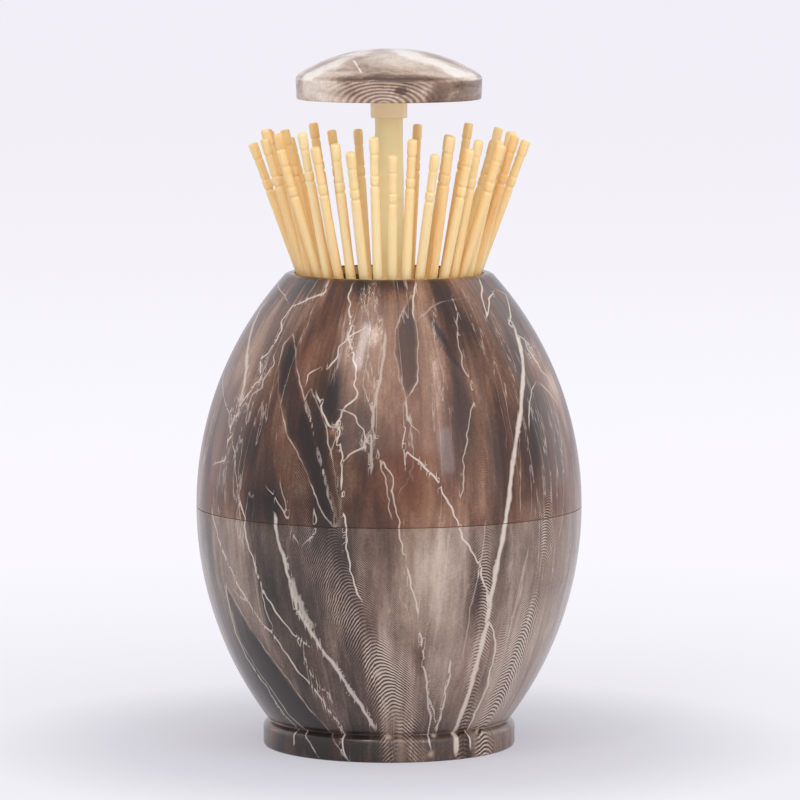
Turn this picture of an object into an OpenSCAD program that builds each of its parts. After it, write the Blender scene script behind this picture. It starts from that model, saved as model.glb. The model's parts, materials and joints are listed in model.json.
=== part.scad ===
// Egg-shaped toothpick holder: press the round lid down and it latches with the toothpicks inside,
// press it again and a spring lifts the tray, so that the toothpicks fan out over the rim.
// Millimetres, +Z up, front at -Y, origin at the middle of the underside. Drawn open.

/* [Body] */
// Greatest radius of the egg, at the seam
body_r = 38; // [36:0.5:40]
// Height of the seam between the two shells
seam_z = 47.5; // [46:0.5:49]
// Wall of both shells
wall = 2; // [1.8:0.1:2.2]
// Radius of the mouth
mouth_r = 18.6; // [18.5:0.1:18.9]
// Width of the flat ring on top of the rim
lip_w = 1.1; // [0.8:0.1:1.3]
// Height of the sloping outer edge of the rim
lip_edge = 0.4; // [0.2:0.1:0.6]
// Height of the straight bore of the mouth
mouth_land = 1.8; // [1.4:0.1:2.2]
// Open joint line between the two shells
seam_gap = 0.2; // [0.15:0.05:0.3]

/* [Foot] */
// Radius of the foot
foot_r = 24.87; // [24.5:0.1:25.2]
// Height of the foot band
foot_h = 4.4; // [4.2:0.1:4.6]
// Radius of the groove above the foot
waist_r = 23.4; // [23.2:0.1:23.6]
// Radius of the egg where it runs into that groove
neck_r = 23.8; // [23.6:0.1:24]
// Rounding of the foot's top edge
foot_round = 1.1; // [0.8:0.1:1.4]
// Bevel round the foot's underside
foot_bevel = 0.5; // [0.3:0.1:0.7]

/* [Bayonet] */
// Height of the ring that stands up into the upper shell
spigot_h = 6; // [5.5:0.5:7]
// Wall of that ring
spigot_wall = 1.65; // [1.4:0.05:1.8]
// Running clearance round that ring
spigot_gap = 0.25; // [0.2:0.05:0.35]
// Height of each locking lug
lug_h = 1.8; // [1.4:0.2:2]
// Width of each lug, in degrees
lug_angle = 6; // [4:1:8]
// Turn from locked to free, in degrees
unlock_angle = 20; // [16:1:24]
// Clearance of a lug in its slot
lug_gap = 0.3; // [0.25:0.05:0.4]
// Number of lugs
lug_count = 3; // [2:1:4]

/* [Base] */
// Radius of the base plate
plate_r = 21.8; // [21.5:0.1:22]
// Thickness of the base plate
plate_t = 2; // [1.8:0.1:2.2]
// Height of the base plate above the table
plate_z = 1; // [0.8:0.1:1.2]
// Width of the ledge that the base plate is screwed to
ledge_w = 2.3; // [2:0.1:2.6]
// Thickness of that ledge
ledge_t = 2; // [1.8:0.1:2.4]
// Radius of the circle of base screws
screw_ring_r = 17.3; // [17:0.1:17.5]
// Number of base screws
screw_count = 3; // [3:1:4]
// Radius of a base screw's shank
screw_r = 0.85; // [0.7:0.05:1]
// Radius of a base screw's head
screw_head_r = 1.8; // [1.6:0.1:2]
// Length of a base screw under its head
screw_l = 6; // [5:0.5:7]
// Wall of a screw boss
boss_wall = 1.7; // [1.4:0.1:2]

/* [Plunger] */
// Travel of the lid and tray
travel = 38; // [37:0.5:39]
// Height of the tray's underside when it is down
tray_down_z = 17.8; // [17.4:0.2:18.6]
// Outer radius of the stem below
stem_r = 2.9; // [2.85:0.05:3]
// Outer radius of the stem near the lid
stem_top_r = 2.75; // [2.7:0.05:2.85]
// Length of that thinner part below the collar
stem_thin_l = 6; // [5:0.5:8]
// Bore of the stem
stem_bore_r = 2.2; // [2.15:0.05:2.3]
// Radius of the flange under the tray
flange_r = 4.8; // [4.6:0.1:5]
// Thickness of that flange
flange_t = 1.5; // [1.2:0.1:1.8]
// Radius of the collar under the lid
collar_r = 3.6; // [3.4:0.1:3.8]
// Height of that collar
collar_h = 3.7; // [3.4:0.1:4]
// Radius of the guide post
post_r = 1.6; // [1.55:0.05:1.65]
// Running clearance of the bush on the post
bush_gap = 0.05; // [0.03:0.01:0.08]
// Length of the bush
bush_l = 6; // [5:0.5:7]
// Radius of the stop screw's head on the post
stop_r = 2.05; // [1.95:0.05:2.1]
// Height of that head
stop_h = 1.6; // [1.4:0.1:2]

/* [Tray] */
// Outer radius of the tray
tray_r = 15.5; // [15:0.1:15.8]
// Thickness of the tray at its hub
tray_t = 1.8; // [1.6:0.1:2]
// Rise of the tray's floor for each millimetre outwards
tray_slope_share = 0.1; // [0.06:0.02:0.14]
// Wall of the tray's rim
tray_rim_wall = 1.1; // [0.9:0.1:1.3]
// Height of the tray's rim above the floor beside it
tray_rim_h = 1.8; // [1.4:0.2:2.4]
// Width of the snap ring that holds the tray
clip_w = 0.65; // [0.5:0.05:0.75]
// Thickness of that ring
clip_t = 0.7; // [0.5:0.1:0.8]

/* [Lid] */
// Greatest radius of the lid
cap_r = 18.3; // [18:0.1:18.3]
// Height of the lid's skirt
skirt_h = 4; // [3.6:0.1:4.4]
// Height of the dome above the skirt
dome_h = 5.9; // [5.5:0.1:6.3]
// Draw-in of the skirt towards its lower edge
skirt_draw = 0.2; // [0.1:0.05:0.3]
// Wall of the lid
cap_wall = 1.5; // [1.3:0.1:1.7]
// Depth that the lid sinks into the mouth
cap_sink = 4; // [3.6:0.1:4.2]
// Thickness of the plug's disc
plug_t = 1.8; // [1.6:0.1:2]
// Height of the plug's socket above the disc
socket_h = 3.4; // [3:0.1:3.6]

/* [Spring] */
// Turns of the lifting spring
spring_turns = 10; // [8:1:11]
// Wire of the spring
spring_wire = 0.9; // [0.8:0.1:1]
// Radius of the spring to the middle of its wire
spring_r = 4.1; // [4:0.1:4.2]

/* [Latch] */
// Wire of the latch hook
hook_wire = 1; // [0.9:0.1:1.1]
// Reach of the hook's pin into the cam
pin_reach = 2.7; // [2.6:0.1:2.9]
// Distance of the arm inside the tray's edge
arm_inset = 1; // [0.8:0.1:1.2]
// Swing of the hook, in degrees
hook_swing = 19; // [18:1:20]
// Thickness of each ear of the pivot
ear_t = 1.3; // [1.1:0.1:1.4]
// Half width of each ear, which is also its height round the pivot
ear_r = 1.5; // [1.4:0.1:1.6]
// Running clearance in the ears
ear_gap = 0.06; // [0.04:0.01:0.08]
// Height of the heart cam under the tray
cam_h = 11.3; // [11:0.1:11.6]
// Thickness of the heart cam
cam_t = 2.3; // [2.2:0.1:2.4]
// Depth of the cam's groove
groove_d = 1.25; // [1.2:0.05:1.35]
// Clearance of the pin in the groove, at each side
groove_gap = 0.15; // [0.12:0.01:0.2]
// Travel beyond the latched position
latch_over = 1; // [0.8:0.1:1.2]

/* [Toothpicks] */
// Usual length of a toothpick
pick_l = 65; // [64:0.5:66]
// Step by which the lengths of single toothpicks differ
pick_step = 0.5; // [0.3:0.1:0.6]
// Radius of a toothpick
pick_r = 0.95; // [0.9:0.05:1]
// Radius of its point
point_r = 0.25; // [0.2:0.05:0.3]
// Length of its tapered point
point_l = 9; // [8:0.5:11]
// Radius of the innermost ring of points on the tray
ring_r = 4.2; // [4.1:0.1:4.4]
// Distance from one ring of points to the next
ring_step = 2.05; // [2:0.05:2.15]
// Gap between a toothpick and the rim that it leans on
rim_gap = 0.25; // [0.2:0.05:0.35]
// Gap between a point and the tray
tip_gap = 0.3; // [0.25:0.05:0.4]
// Gap between the longest toothpick and the collar when the lid is down
top_gap = 0.4; // [0.3:0.1:0.6]

/* [Hidden] */
$fn = 48;
// One overrun for every cut, and one hair of air for pieces pushed into each other
over = 0.2;
fit = 0.03;

// Rows are the azimuth at the rim, the ring of the point, the skew of the point in degrees and the
// length in steps away from the usual one, which is never more than one step longer
pick_shares = [
    [-178, 0, 1, 0], [-169, 2, -1, 1], [-160, 1, 1, 0], [-151, 2, 1, 0], [-142, 0, -1, -1],
    [-133, 2, 0, 1], [-124, 1, 0, -2], [-115, 2, 1, -3], [-106, 0, 1, -1], [-97, 2, -1, 0],
    [-88, 1, 1, -5], [-79, 2, 1, -1], [-70, 0, 2, -2], [-61, 2, -1, 0], [-52, 1, -1, -3],
    [-44, 2, 0, -2], [-36, 0, 0, 1], [-27, 2, 0, -3], [-18, 1, 0, 1], [-9, 2, 1, 0],
    [0, 0, 1, 1], [9, 2, -1, -1], [18, 1, 1, 0], [28, 2, 2, 0], [38, 0, 0, -1],
    [50, 2, 1, 1], [62, 1, 0, -2], [76, 2, -2, 0], [90, 0, 1, 1], [105, 2, 0, -2],
    [117, 1, 2, 0], [128, 2, 0, 1], [138, 0, 1, 0], [148, 2, -1, -1], [157, 1, 0, 1],
    [169, 2, 1, 0]
];
pick_numbers = [for (i = [1:len(pick_shares)]) i];
function pick_name(i) = str("toothpick_", i < 10 ? "0" : "", i);

// Heights of the moving parts when they are up, and of the rim, which the closed lid sinks into
tray_z = tray_down_z + travel;
floor_z = tray_z + tray_t;
flange_z = tray_z - flange_t;
collar_z = floor_z + tip_gap + pick_l + pick_step + top_gap;
cap_z = collar_z + collar_h;
rim_z = cap_z - travel + cap_sink;

// The egg: each half is an arc with its middle at the height of the seam
lip_r = mouth_r + lip_w;
lip_z = rim_z - lip_edge;
crown_r = lip_r + lip_w * 0.4;
upper_rad = egg_radius(rim_z - seam_z, body_r - crown_r);
waist_z = foot_h + foot_round * 0.7;
lower_rad = egg_radius(seam_z - waist_z, body_r - neck_r);
arc_steps = 26;

// Bayonet
socket_r = body_r - wall;
spigot_r = socket_r - spigot_gap;
spigot_in = spigot_r - spigot_wall;
spigot_top = seam_z + spigot_h;
lug_z = seam_z + spigot_h / 3;
lug_in = spigot_in + lug_gap;
slot_play = 1;

// Base
plate_top = plate_z + plate_t;
ledge_r = plate_r - ledge_w;
ledge_top = plate_top + ledge_t;
boss_r = screw_r + boss_wall;
head_h = plate_t / 2;
screw_top = plate_z + head_h + screw_l;
post_flange_r = spring_r + spring_wire;
post_flange_t = spring_wire * 1.3;
post_z = plate_top + post_flange_t;
bush_top = flange_z + bush_l;
post_top = bush_top + bush_gap * 2;
thread_r = post_r * 0.55;
thread_l = bush_l;

// Lid, with the shares of its radius and of its height along the dome
stem_top = cap_z + plug_t + socket_h;
socket_wall = stem_top_r / 2;
dome_shares = [[1, 0], [0.985, 0.1], [0.945, 0.2], [0.895, 0.3], [0.83, 0.4], [0.77, 0.5],
    [0.7, 0.6], [0.615, 0.695], [0.51, 0.8], [0.376, 0.9], [0.2, 0.972], [0, 1]];

// Latch: heights in the cam are measured from its lower edge
hook_r = hook_wire / 2;
hook_x = tray_r - arm_inset;
hook_z = plate_top + ear_r + hook_wire * 0.3;
ear_out = hook_x - hook_wire;
ear_in = ear_out - ear_t * 2 - hook_wire / 2;
clip_x = ear_in - ear_gap * 2;
cam_x = hook_x - pin_reach - groove_gap * 1.5 + groove_d;
lane_w = hook_wire + groove_gap * 2;
pin_rise = hook_wire * 8;
cam_z = tray_z - cam_h;
pin_z = cam_z - travel + pin_rise;
hook_l = pin_z - hook_z;
swing_y = hook_l * sin(hook_swing);
swing_drop = hook_l * (1 - cos(hook_swing));
chamber_low = pin_rise - swing_drop - hook_r - groove_gap;
chamber_top = pin_rise + hook_r + groove_gap * 2;
notch_z = pin_rise - latch_over - hook_r - groove_gap * 2;
cam_left = lane_w;
cam_right = swing_y + lane_w;
pad_t = flange_t;
tray_screw_r = screw_r * 0.7;
tray_head_r = screw_r * 1.2;
pad_wall = cam_t * 0.75;

function egg_radius(height, depth) = (height * height + depth * depth) / (2 * depth);
// Radius of an arc of the egg at a height, and points along it
function arc_r(z, rad, inset = 0) =
    body_r - rad + sqrt(pow(rad - inset, 2) - pow(z - seam_z, 2));
function arc(z0, z1, rad, inset = 0) =
    [for (i = [0:arc_steps]) let (z = z0 + (z1 - z0) * i / arc_steps) [arc_r(z, rad, inset), z]];
// Quarter of a circle from one angle to another, for small roundings
function round_points(centre, rad, a0, a1, steps = 5) =
    [for (i = [0:steps]) let (a = a0 + (a1 - a0) * i / steps)
        centre + rad * [cos(a), sin(a)]];

// A piece of a ring between two angles
module sector(r0, r1, z0, z1, a0, a1) {
    rotate([0, 0, a0])
        rotate_extrude(angle = a1 - a0)
            translate([r0, z0]) square([r1 - r0, z1 - z0]);
}

module lathe(points) {
    rotate_extrude() polygon(points);
}

module around(count, start = 90) {
    for (i = [0:count - 1]) rotate([0, 0, start + 360 / count * i]) children();
}

// A screw that points up: head below z, shank above it
module screw(z, head_r, head_l, shank_r, shank_l) {
    translate([0, 0, z - head_l]) cylinder(h = head_l, r = head_r);
    translate([0, 0, z]) cylinder(h = shank_l, r = shank_r);
}

module lower_shell() {
    top = seam_z - seam_gap / 2;
    shelf_z = seam_z - wall * 2;
    chamfer = body_r - wall - spigot_in;
    inside_z = ledge_top + wall / 2;
    color([0.4, 0.34, 0.31])
    difference() {
        union() {
            lathe(concat(
                [[plate_r + fit, 0], [foot_r - foot_bevel, 0], [foot_r, foot_bevel]],
                round_points([foot_r - foot_round, foot_h - foot_round], foot_round, 0, 80),
                [[waist_r, waist_z - foot_round * 0.35]],
                arc(waist_z + foot_round * 0.35, top, lower_rad),
                [[spigot_r, top], [spigot_r, spigot_top], [spigot_in, spigot_top],
                 [spigot_in, shelf_z]],
                arc(shelf_z - chamfer, inside_z, lower_rad, wall),
                [[ledge_r, ledge_top], [ledge_r, plate_top], [plate_r + fit, plate_top]]));
            around(screw_count) translate([screw_ring_r, 0, ledge_top - ledge_t / 2]) {
                cylinder(h = screw_l, r = boss_r);
                translate([0, -boss_wall / 2, 0])
                    cube([waist_r - wall / 2 - screw_ring_r, boss_wall, ledge_t / 2 + wall]);
            }
        }
        around(screw_count)
            translate([screw_ring_r, 0, plate_top - over])
                cylinder(h = screw_top - plate_top + over * 2, r = screw_r + fit);
        around(lug_count) bayonet_slot();
    }
}

module bayonet_slot() {
    half = lug_angle / 2 + slot_play;
    sector(spigot_in - over, spigot_r + over, lug_z - lug_gap, lug_z + lug_h + lug_gap,
        -half, unlock_angle + half + slot_play);
    sector(spigot_in - over, spigot_r + over, lug_z, spigot_top + over,
        unlock_angle - half, unlock_angle + half);
}

module upper_shell() {
    bottom = seam_z + seam_gap / 2;
    socket_top = spigot_top + spigot_gap * 2;
    land_z = rim_z - mouth_land;
    color([0.36, 0.27, 0.22])
    union() {
        lathe(concat(
            [[socket_r, bottom]],
            arc(bottom, lip_z, upper_rad),
            [[lip_r, rim_z], [mouth_r, rim_z], [mouth_r, land_z]],
            arc(land_z - wall / 2, socket_top, upper_rad, wall),
            [[socket_r, socket_top]]));
        around(lug_count)
            sector(lug_in, socket_r + wall / 2, lug_z, lug_z + lug_h, -lug_angle / 2, lug_angle / 2);
    }
}

module base_plate() {
    color([0.2, 0.2, 0.2])
    difference() {
        union() {
            translate([0, 0, plate_z]) cylinder(h = plate_t, r = plate_r);
            for (x = [ear_out - ear_t, ear_in]) ear(x);
        }
        around(screw_count) translate([screw_ring_r, 0, 0]) screw_hole(screw_r, screw_head_r);
        screw_hole(thread_r, screw_head_r);
        translate([ear_in - over, 0, hook_z]) rotate([0, 90, 0])
            cylinder(h = ear_out - ear_in + over * 2, r = hook_r + ear_gap);
    }
}

module screw_hole(shank_r, head_r) {
    translate([0, 0, plate_z - over]) cylinder(h = plate_t + over * 2, r = shank_r + fit * 2);
    translate([0, 0, plate_z - over]) cylinder(h = head_h + over, r = head_r + fit * 2);
}

module ear(x) {
    translate([x, 0, hook_z]) rotate([0, 90, 0]) cylinder(h = ear_t, r = ear_r);
    translate([x, -ear_r, plate_top - plate_t / 2])
        cube([ear_t, ear_r * 2, hook_z - plate_top + plate_t / 2]);
}

module base_screws() {
    color("silver")
    around(screw_count) translate([screw_ring_r, 0, 0])
        screw(plate_z + head_h, screw_head_r, head_h, screw_r, screw_l);
}

module post_screw() {
    color("silver") screw(plate_z + head_h, screw_head_r, head_h, thread_r, thread_l + head_h);
}

module guide_post() {
    color("lightgray")
    difference() {
        union() {
            translate([0, 0, plate_top]) cylinder(h = post_flange_t, r = post_flange_r);
            translate([0, 0, plate_top]) cylinder(h = post_top - plate_top, r = post_r);
        }
        translate([0, 0, plate_top - over]) cylinder(h = thread_l + over * 2, r = thread_r + fit);
        translate([0, 0, post_top - thread_l - over])
            cylinder(h = thread_l + over * 2, r = thread_r + fit);
    }
}

module stop_screw() {
    color("silver") {
        translate([0, 0, post_top]) cylinder(h = stop_h, r = stop_r);
        translate([0, 0, post_top - thread_l]) cylinder(h = thread_l, r = thread_r);
    }
}

// The spring's wire runs straight up from the post's flange, bends into the helix, climbs it at a
// steady rate and runs straight up again into the flange of the stem
spring_low = post_z;
spring_high = flange_z;
helix_low = spring_low + spring_wire * 2;
helix_high = spring_high - spring_wire * 2;
helix_lead = asin(spring_wire / spring_r);
helix_end = 360 * spring_turns - helix_lead;
helix_steps = 8 * spring_turns;
bend_steps = 3;
function helix_point(a) =
    [spring_r * cos(a), spring_r * sin(a),
     helix_low + (helix_high - helix_low) * (a - helix_lead) / (helix_end - helix_lead)];
function bend_point(a) =
    [spring_r, spring_wire * (1 - cos(a)), spring_low + spring_wire + spring_wire * sin(a)];
bend_in = concat([[spring_r, 0, spring_low]],
    [for (i = [0:bend_steps - 1]) bend_point(90 * i / bend_steps)]);
helix = [for (i = [0:helix_steps]) helix_point(helix_lead + (helix_end - helix_lead) * i / helix_steps)];
bend_out = [for (i = [len(bend_in) - 1:-1:0])
    [bend_in[i][0], -bend_in[i][1], spring_low + spring_high - bend_in[i][2]]];
spring_path = concat(bend_in, helix, bend_out);
spring_sides = 6;
spring_last = len(spring_path) - 1;

function unit(v) = v / norm(v);
function tangent(i) =
    unit(spring_path[min(i + 1, spring_last)] - spring_path[max(i - 1, 0)]);
// Across the wire, one way points away from the axis of the spring
function ring_points(i) =
    let (t = tangent(i), p = spring_path[i], away = unit([p[0], p[1], 0]),
        side = unit(cross(t, away)), out = cross(side, t))
    [for (k = [0:spring_sides - 1]) let (a = 360 * k / spring_sides)
        p + spring_wire / 2 * (out * cos(a) + side * sin(a))];
half_turn = helix_steps / spring_turns / 2;
least_gap = min([for (i = [0:spring_last]) for (j = [i + half_turn:1:spring_last])
    norm(spring_path[i] - spring_path[j])]) - spring_wire;
echo(least_gap_of_spring = least_gap);

module lift_spring() {
    points = [for (i = [0:spring_last]) each ring_points(i)];
    sides = [for (i = [0:spring_last - 1]) for (k = [0:spring_sides - 1])
        let (a = i * spring_sides + k, b = i * spring_sides + (k + 1) % spring_sides)
        each [[a, a + spring_sides, b], [b, a + spring_sides, b + spring_sides]]];
    first = [for (k = [1:spring_sides - 2]) [0, k, k + 1]];
    end = spring_last * spring_sides;
    last = [for (k = [1:spring_sides - 2]) [end, end + k + 1, end + k]];
    color("gray") polyhedron(points, concat(sides, first, last));
}

module stem() {
    thin_z = collar_z - stem_thin_l;
    color([0.94, 0.88, 0.74])
    lathe([[stem_bore_r, flange_z], [flange_r, flange_z], [flange_r, tray_z], [stem_r, tray_z],
        [stem_r, thin_z - stem_thin_l], [stem_top_r, thin_z], [stem_top_r, stem_top],
        [stem_bore_r, stem_top]]);
}

module stem_bush() {
    color([0.9, 0.9, 0.86])
    lathe([[post_r + bush_gap, flange_z], [stem_bore_r - fit, flange_z],
        [stem_bore_r - fit, bush_top], [post_r + bush_gap, bush_top]]);
}

// Height of the tray's floor at a radius
function floor_at(r) = floor_z + tray_slope_share * (r - ring_r);

module tray() {
    rim_in = tray_r - tray_rim_wall;
    edge_z = floor_at(rim_in);
    color([0.93, 0.88, 0.78])
    difference() {
        lathe([[stem_r + fit, tray_z], [tray_r - wall, tray_z], [tray_r, tray_z + tray_t],
            [tray_r, edge_z + tray_rim_h], [rim_in, edge_z + tray_rim_h], [rim_in, edge_z],
            [ring_r, floor_z], [stem_r + fit, floor_z]]);
        tray_screw_places() {
            translate([0, 0, tray_z - over])
                cylinder(h = tray_t + over, r = tray_screw_r + fit);
            translate([0, 0, floor_z - head_h / 2])
                cylinder(h = tray_rim_h, r = tray_head_r + fit * 2);
        }
    }
}

// Snap ring above the tray's hub
module tray_clip() {
    color("silver")
    lathe([[stem_r + fit, floor_z + fit], [stem_r + clip_w, floor_z + fit],
        [stem_r + clip_w, floor_z + clip_t], [stem_r + fit, floor_z + clip_t]]);
}

module tray_screw_places() {
    x = cam_x - cam_t / 2;
    for (y = [-cam_left - screw_r, cam_right + screw_r]) translate([x, y, 0]) children();
}

// Sunk into the tray's floor, so that no toothpick stands on a head
module tray_screws() {
    head_z = floor_z - head_h / 2;
    color("silver")
    tray_screw_places() {
        translate([0, 0, head_z]) cylinder(h = head_h / 2, r = tray_head_r);
        translate([0, 0, tray_z - pad_t]) cylinder(h = head_z - tray_z + pad_t, r = tray_screw_r);
    }
}

// Heart cam under the tray: the hook's pin enters the straight lane at y = 0, is caught on the
// notched top of the island in the middle and leaves by the second lane
module cam_block() {
    left = -cam_left;
    right = cam_right;
    color([0.93, 0.93, 0.9])
    difference() {
        union() {
            translate([cam_x - cam_t, left, cam_z]) cube([cam_t, right - left, tray_z - cam_z]);
            translate([cam_x - cam_t / 2 - pad_wall, left - pad_wall * 2, tray_z - pad_t])
                cube([pad_wall * 2, right - left + pad_wall * 4, pad_t]);
        }
        translate([cam_x - groove_d, 0, cam_z]) heart_groove();
        tray_screw_places() translate([0, 0, tray_z - pad_t - over])
            cylinder(h = pad_t + over * 2, r = tray_screw_r + fit);
    }
}

// The groove's outline in the plane of the cam: two lanes, the chamber above them and the island
// between them, whose top has a step on the entry side, a flat notch and a lower exit shoulder
module heart_groove() {
    half = lane_w / 2;
    mid = swing_y / 2;
    seat = hook_r * 0.6;
    rotate([90, 0, 90])
    linear_extrude(groove_d + over)
    polygon([[-half, -over], [half, -over], [half, chamber_low + hook_r / 2],
        [mid - seat, notch_z], [mid + seat, notch_z], [swing_y - half, chamber_low],
        [swing_y - half, -over], [swing_y + half, -over],
        [swing_y + half, chamber_top - swing_drop], [swing_y, chamber_top],
        [-half, chamber_top]]);
}

module latch_hook() {
    color("silver") {
        translate([ear_in - hook_wire, 0, hook_z]) rotate([0, 90, 0])
            cylinder(h = hook_x - ear_in + hook_wire, r = hook_r);
        translate([hook_x, 0, hook_z]) sphere(r = hook_r);
        translate([hook_x, 0, hook_z]) cylinder(h = hook_l, r = hook_r);
        translate([hook_x, 0, pin_z]) sphere(r = hook_r);
        translate([hook_x - pin_reach, 0, pin_z]) rotate([0, 90, 0])
            cylinder(h = pin_reach, r = hook_r);
    }
}

// Clip on the hook's inner end, which keeps it in the ears
module hook_clip() {
    color("gray")
    translate([clip_x - hook_r, 0, hook_z]) rotate([0, 90, 0])
    difference() {
        cylinder(h = hook_r, r = ear_r * 0.8);
        translate([0, 0, -over]) cylinder(h = hook_r + over * 2, r = hook_r + fit);
    }
}

module cap() {
    in_r = cap_r - cap_wall;
    in_h = dome_h - cap_wall;
    crease_z = cap_z + skirt_h;
    color([0.34, 0.26, 0.22])
    lathe(concat(
        [[in_r, cap_z], [cap_r - skirt_draw, cap_z]],
        [for (s = dome_shares) [cap_r * s[0], crease_z + dome_h * s[1]]],
        [for (i = [len(dome_shares) - 1:-1:0])
            [in_r * dome_shares[i][0], crease_z + in_h * dome_shares[i][1]]]));
}

// Disc that closes the lid from below, with the socket for the stem and the collar under it
module cap_plug() {
    disc_z = cap_z + over * 2;
    disc_top = disc_z + plug_t;
    disc_r = cap_r - cap_wall - fit;
    boss = stem_top_r + socket_wall;
    bore = stem_top_r + fit;
    color([0.92, 0.8, 0.74])
    lathe([[bore, collar_z], [collar_r, collar_z], [collar_r, disc_z], [disc_r, disc_z],
        [disc_r, disc_top], [boss, disc_top], [boss, stem_top], [bore, stem_top]]);
}

// Where each point stands, and how far and which way its toothpick leans to the rim
cross_r = mouth_r - rim_gap - pick_r * 1.06;
function tip_of(i) =
    let (s = pick_shares[i - 1], r = ring_r + s[1] * ring_step, a = s[0] + s[2])
    [r * cos(a), r * sin(a), floor_at(r) + tip_gap];
function rim_of(i) =
    let (a = pick_shares[i - 1][0]) [cross_r * cos(a), cross_r * sin(a), rim_z];
function lean_of(v) = [0, atan2(norm([v[0], v[1]]), v[2]), atan2(v[1], v[0])];

// A turned toothpick: a tapered point with a round end, round the middle of which it leans, and a
// bead, a waisted neck and two rings at its head
module toothpick(i) {
    l = pick_l + pick_step * pick_shares[i - 1][3];
    tip = tip_of(i);
    groove = pick_r * 0.72;
    bead = pick_r * 4;
    ring = pick_r * 9;
    color([0.95, 0.88, 0.72])
    translate(tip) rotate(lean_of(rim_of(i) - tip)) {
        sphere(r = point_r * 1.06);
        lathe([[0, 0], [point_r, 0], [pick_r, point_l], [pick_r, l - ring - pick_r * 2.6],
            [groove, l - ring - pick_r * 2.2], [groove, l - ring - pick_r * 1.8],
            [pick_r, l - ring - pick_r * 1.4], [pick_r, l - ring],
            [groove, l - ring + pick_r * 0.5], [pick_r * 0.84, l - bead - pick_r * 0.8],
            [groove, l - bead - pick_r * 0.3], [pick_r, l - bead + pick_r * 0.4],
            [pick_r, l - pick_r * 1.2], [pick_r * 0.86, l - pick_r * 0.3], [pick_r * 0.6, l],
            [0, l]]);
    }
}

lower_shell();
base_plate();
base_screws();
guide_post();
post_screw();
stop_screw();
lift_spring();
upper_shell();
cap();
cap_plug();
stem();
stem_bush();
tray();
tray_clip();
tray_screws();
cam_block();
latch_hook();
hook_clip();
for (i = pick_numbers) toothpick(i);
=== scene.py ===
"""Finished look of an egg-shaped toothpick holder with a printed marble skin, drawn open."""

import json
import logging
import math
from collections.abc import Sequence
from dataclasses import dataclass, field
from enum import Enum

import bpy
import numpy as np
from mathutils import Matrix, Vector

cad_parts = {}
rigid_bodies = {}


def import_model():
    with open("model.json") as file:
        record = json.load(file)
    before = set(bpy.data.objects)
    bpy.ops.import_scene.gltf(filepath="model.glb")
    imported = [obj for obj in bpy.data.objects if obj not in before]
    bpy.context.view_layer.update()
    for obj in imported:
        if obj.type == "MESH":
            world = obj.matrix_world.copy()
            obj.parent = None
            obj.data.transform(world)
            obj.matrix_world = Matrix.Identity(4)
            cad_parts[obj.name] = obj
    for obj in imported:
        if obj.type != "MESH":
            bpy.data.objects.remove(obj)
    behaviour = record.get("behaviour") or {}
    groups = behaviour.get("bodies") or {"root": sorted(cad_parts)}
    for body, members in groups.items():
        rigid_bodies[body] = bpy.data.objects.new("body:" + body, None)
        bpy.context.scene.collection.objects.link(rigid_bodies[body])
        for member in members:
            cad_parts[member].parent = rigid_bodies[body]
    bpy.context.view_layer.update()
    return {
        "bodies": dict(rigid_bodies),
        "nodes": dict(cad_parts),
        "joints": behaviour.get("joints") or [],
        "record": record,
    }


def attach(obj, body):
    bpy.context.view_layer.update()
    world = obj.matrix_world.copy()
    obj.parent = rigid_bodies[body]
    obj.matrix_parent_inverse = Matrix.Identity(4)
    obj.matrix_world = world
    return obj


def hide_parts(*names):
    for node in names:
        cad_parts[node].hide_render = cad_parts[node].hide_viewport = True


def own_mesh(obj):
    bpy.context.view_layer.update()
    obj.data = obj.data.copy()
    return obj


log = logging.getLogger("toothpick_holder")

MM = 0.001
IMAGE_SIDE = 800

Pixel = tuple[float, float]
Colour = tuple[int, int, int]
Stroke = tuple[float, float, float, float]
Socket = bpy.types.NodeSocket | float


class Body(Enum):
    """The moving bodies that the new pieces ride on."""

    LOWER = "lower_body"
    UPPER = "upper_body"
    PLUNGER = "plunger"


class Edge(Enum):
    """How a turned outline ends."""

    LOOP = "the outline is a closed loop clear of the axis"
    AXIS = "the outline starts and ends on the axis"


def linear(colour: Colour) -> tuple[float, float, float, float]:
    """Turns a screen colour into the linear values that a shader takes.

    Args:
        colour: red, green and blue from 0 to 255.

    Returns:
        Linear red, green and blue with an alpha of one.
    """
    share = np.asarray(colour) / 255
    value = np.where(share <= 0.04045, share / 12.92, ((share + 0.055) / 1.055) ** 2.4)
    return (*value.tolist(), 1.0)


# Surfaces


@dataclass
class Surface:
    """A closed surface as arrays: points in millimetres, and faces as rows of point numbers."""

    points: np.ndarray
    quads: np.ndarray
    triangles: np.ndarray = field(default_factory=lambda: np.zeros((0, 3), int))

    def joined(self, other: "Surface") -> "Surface":
        """Returns this surface and another one as one, its point numbers moved up."""
        shift = len(self.points)
        return Surface(
            np.vstack([self.points, other.points]),
            np.vstack([self.quads, other.quads + shift]),
            np.vstack([self.triangles, other.triangles + shift]),
        )

    def placed(self, axes: np.ndarray, origin: np.ndarray) -> "Surface":
        """Returns the surface turned and moved.

        Args:
            axes: the directions of the surface's own x, y and z, one a row.
            origin: where its own origin goes, in millimetres.

        Returns:
            The surface in its new place.
        """
        return Surface(self.points @ axes + origin, self.quads, self.triangles)


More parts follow.
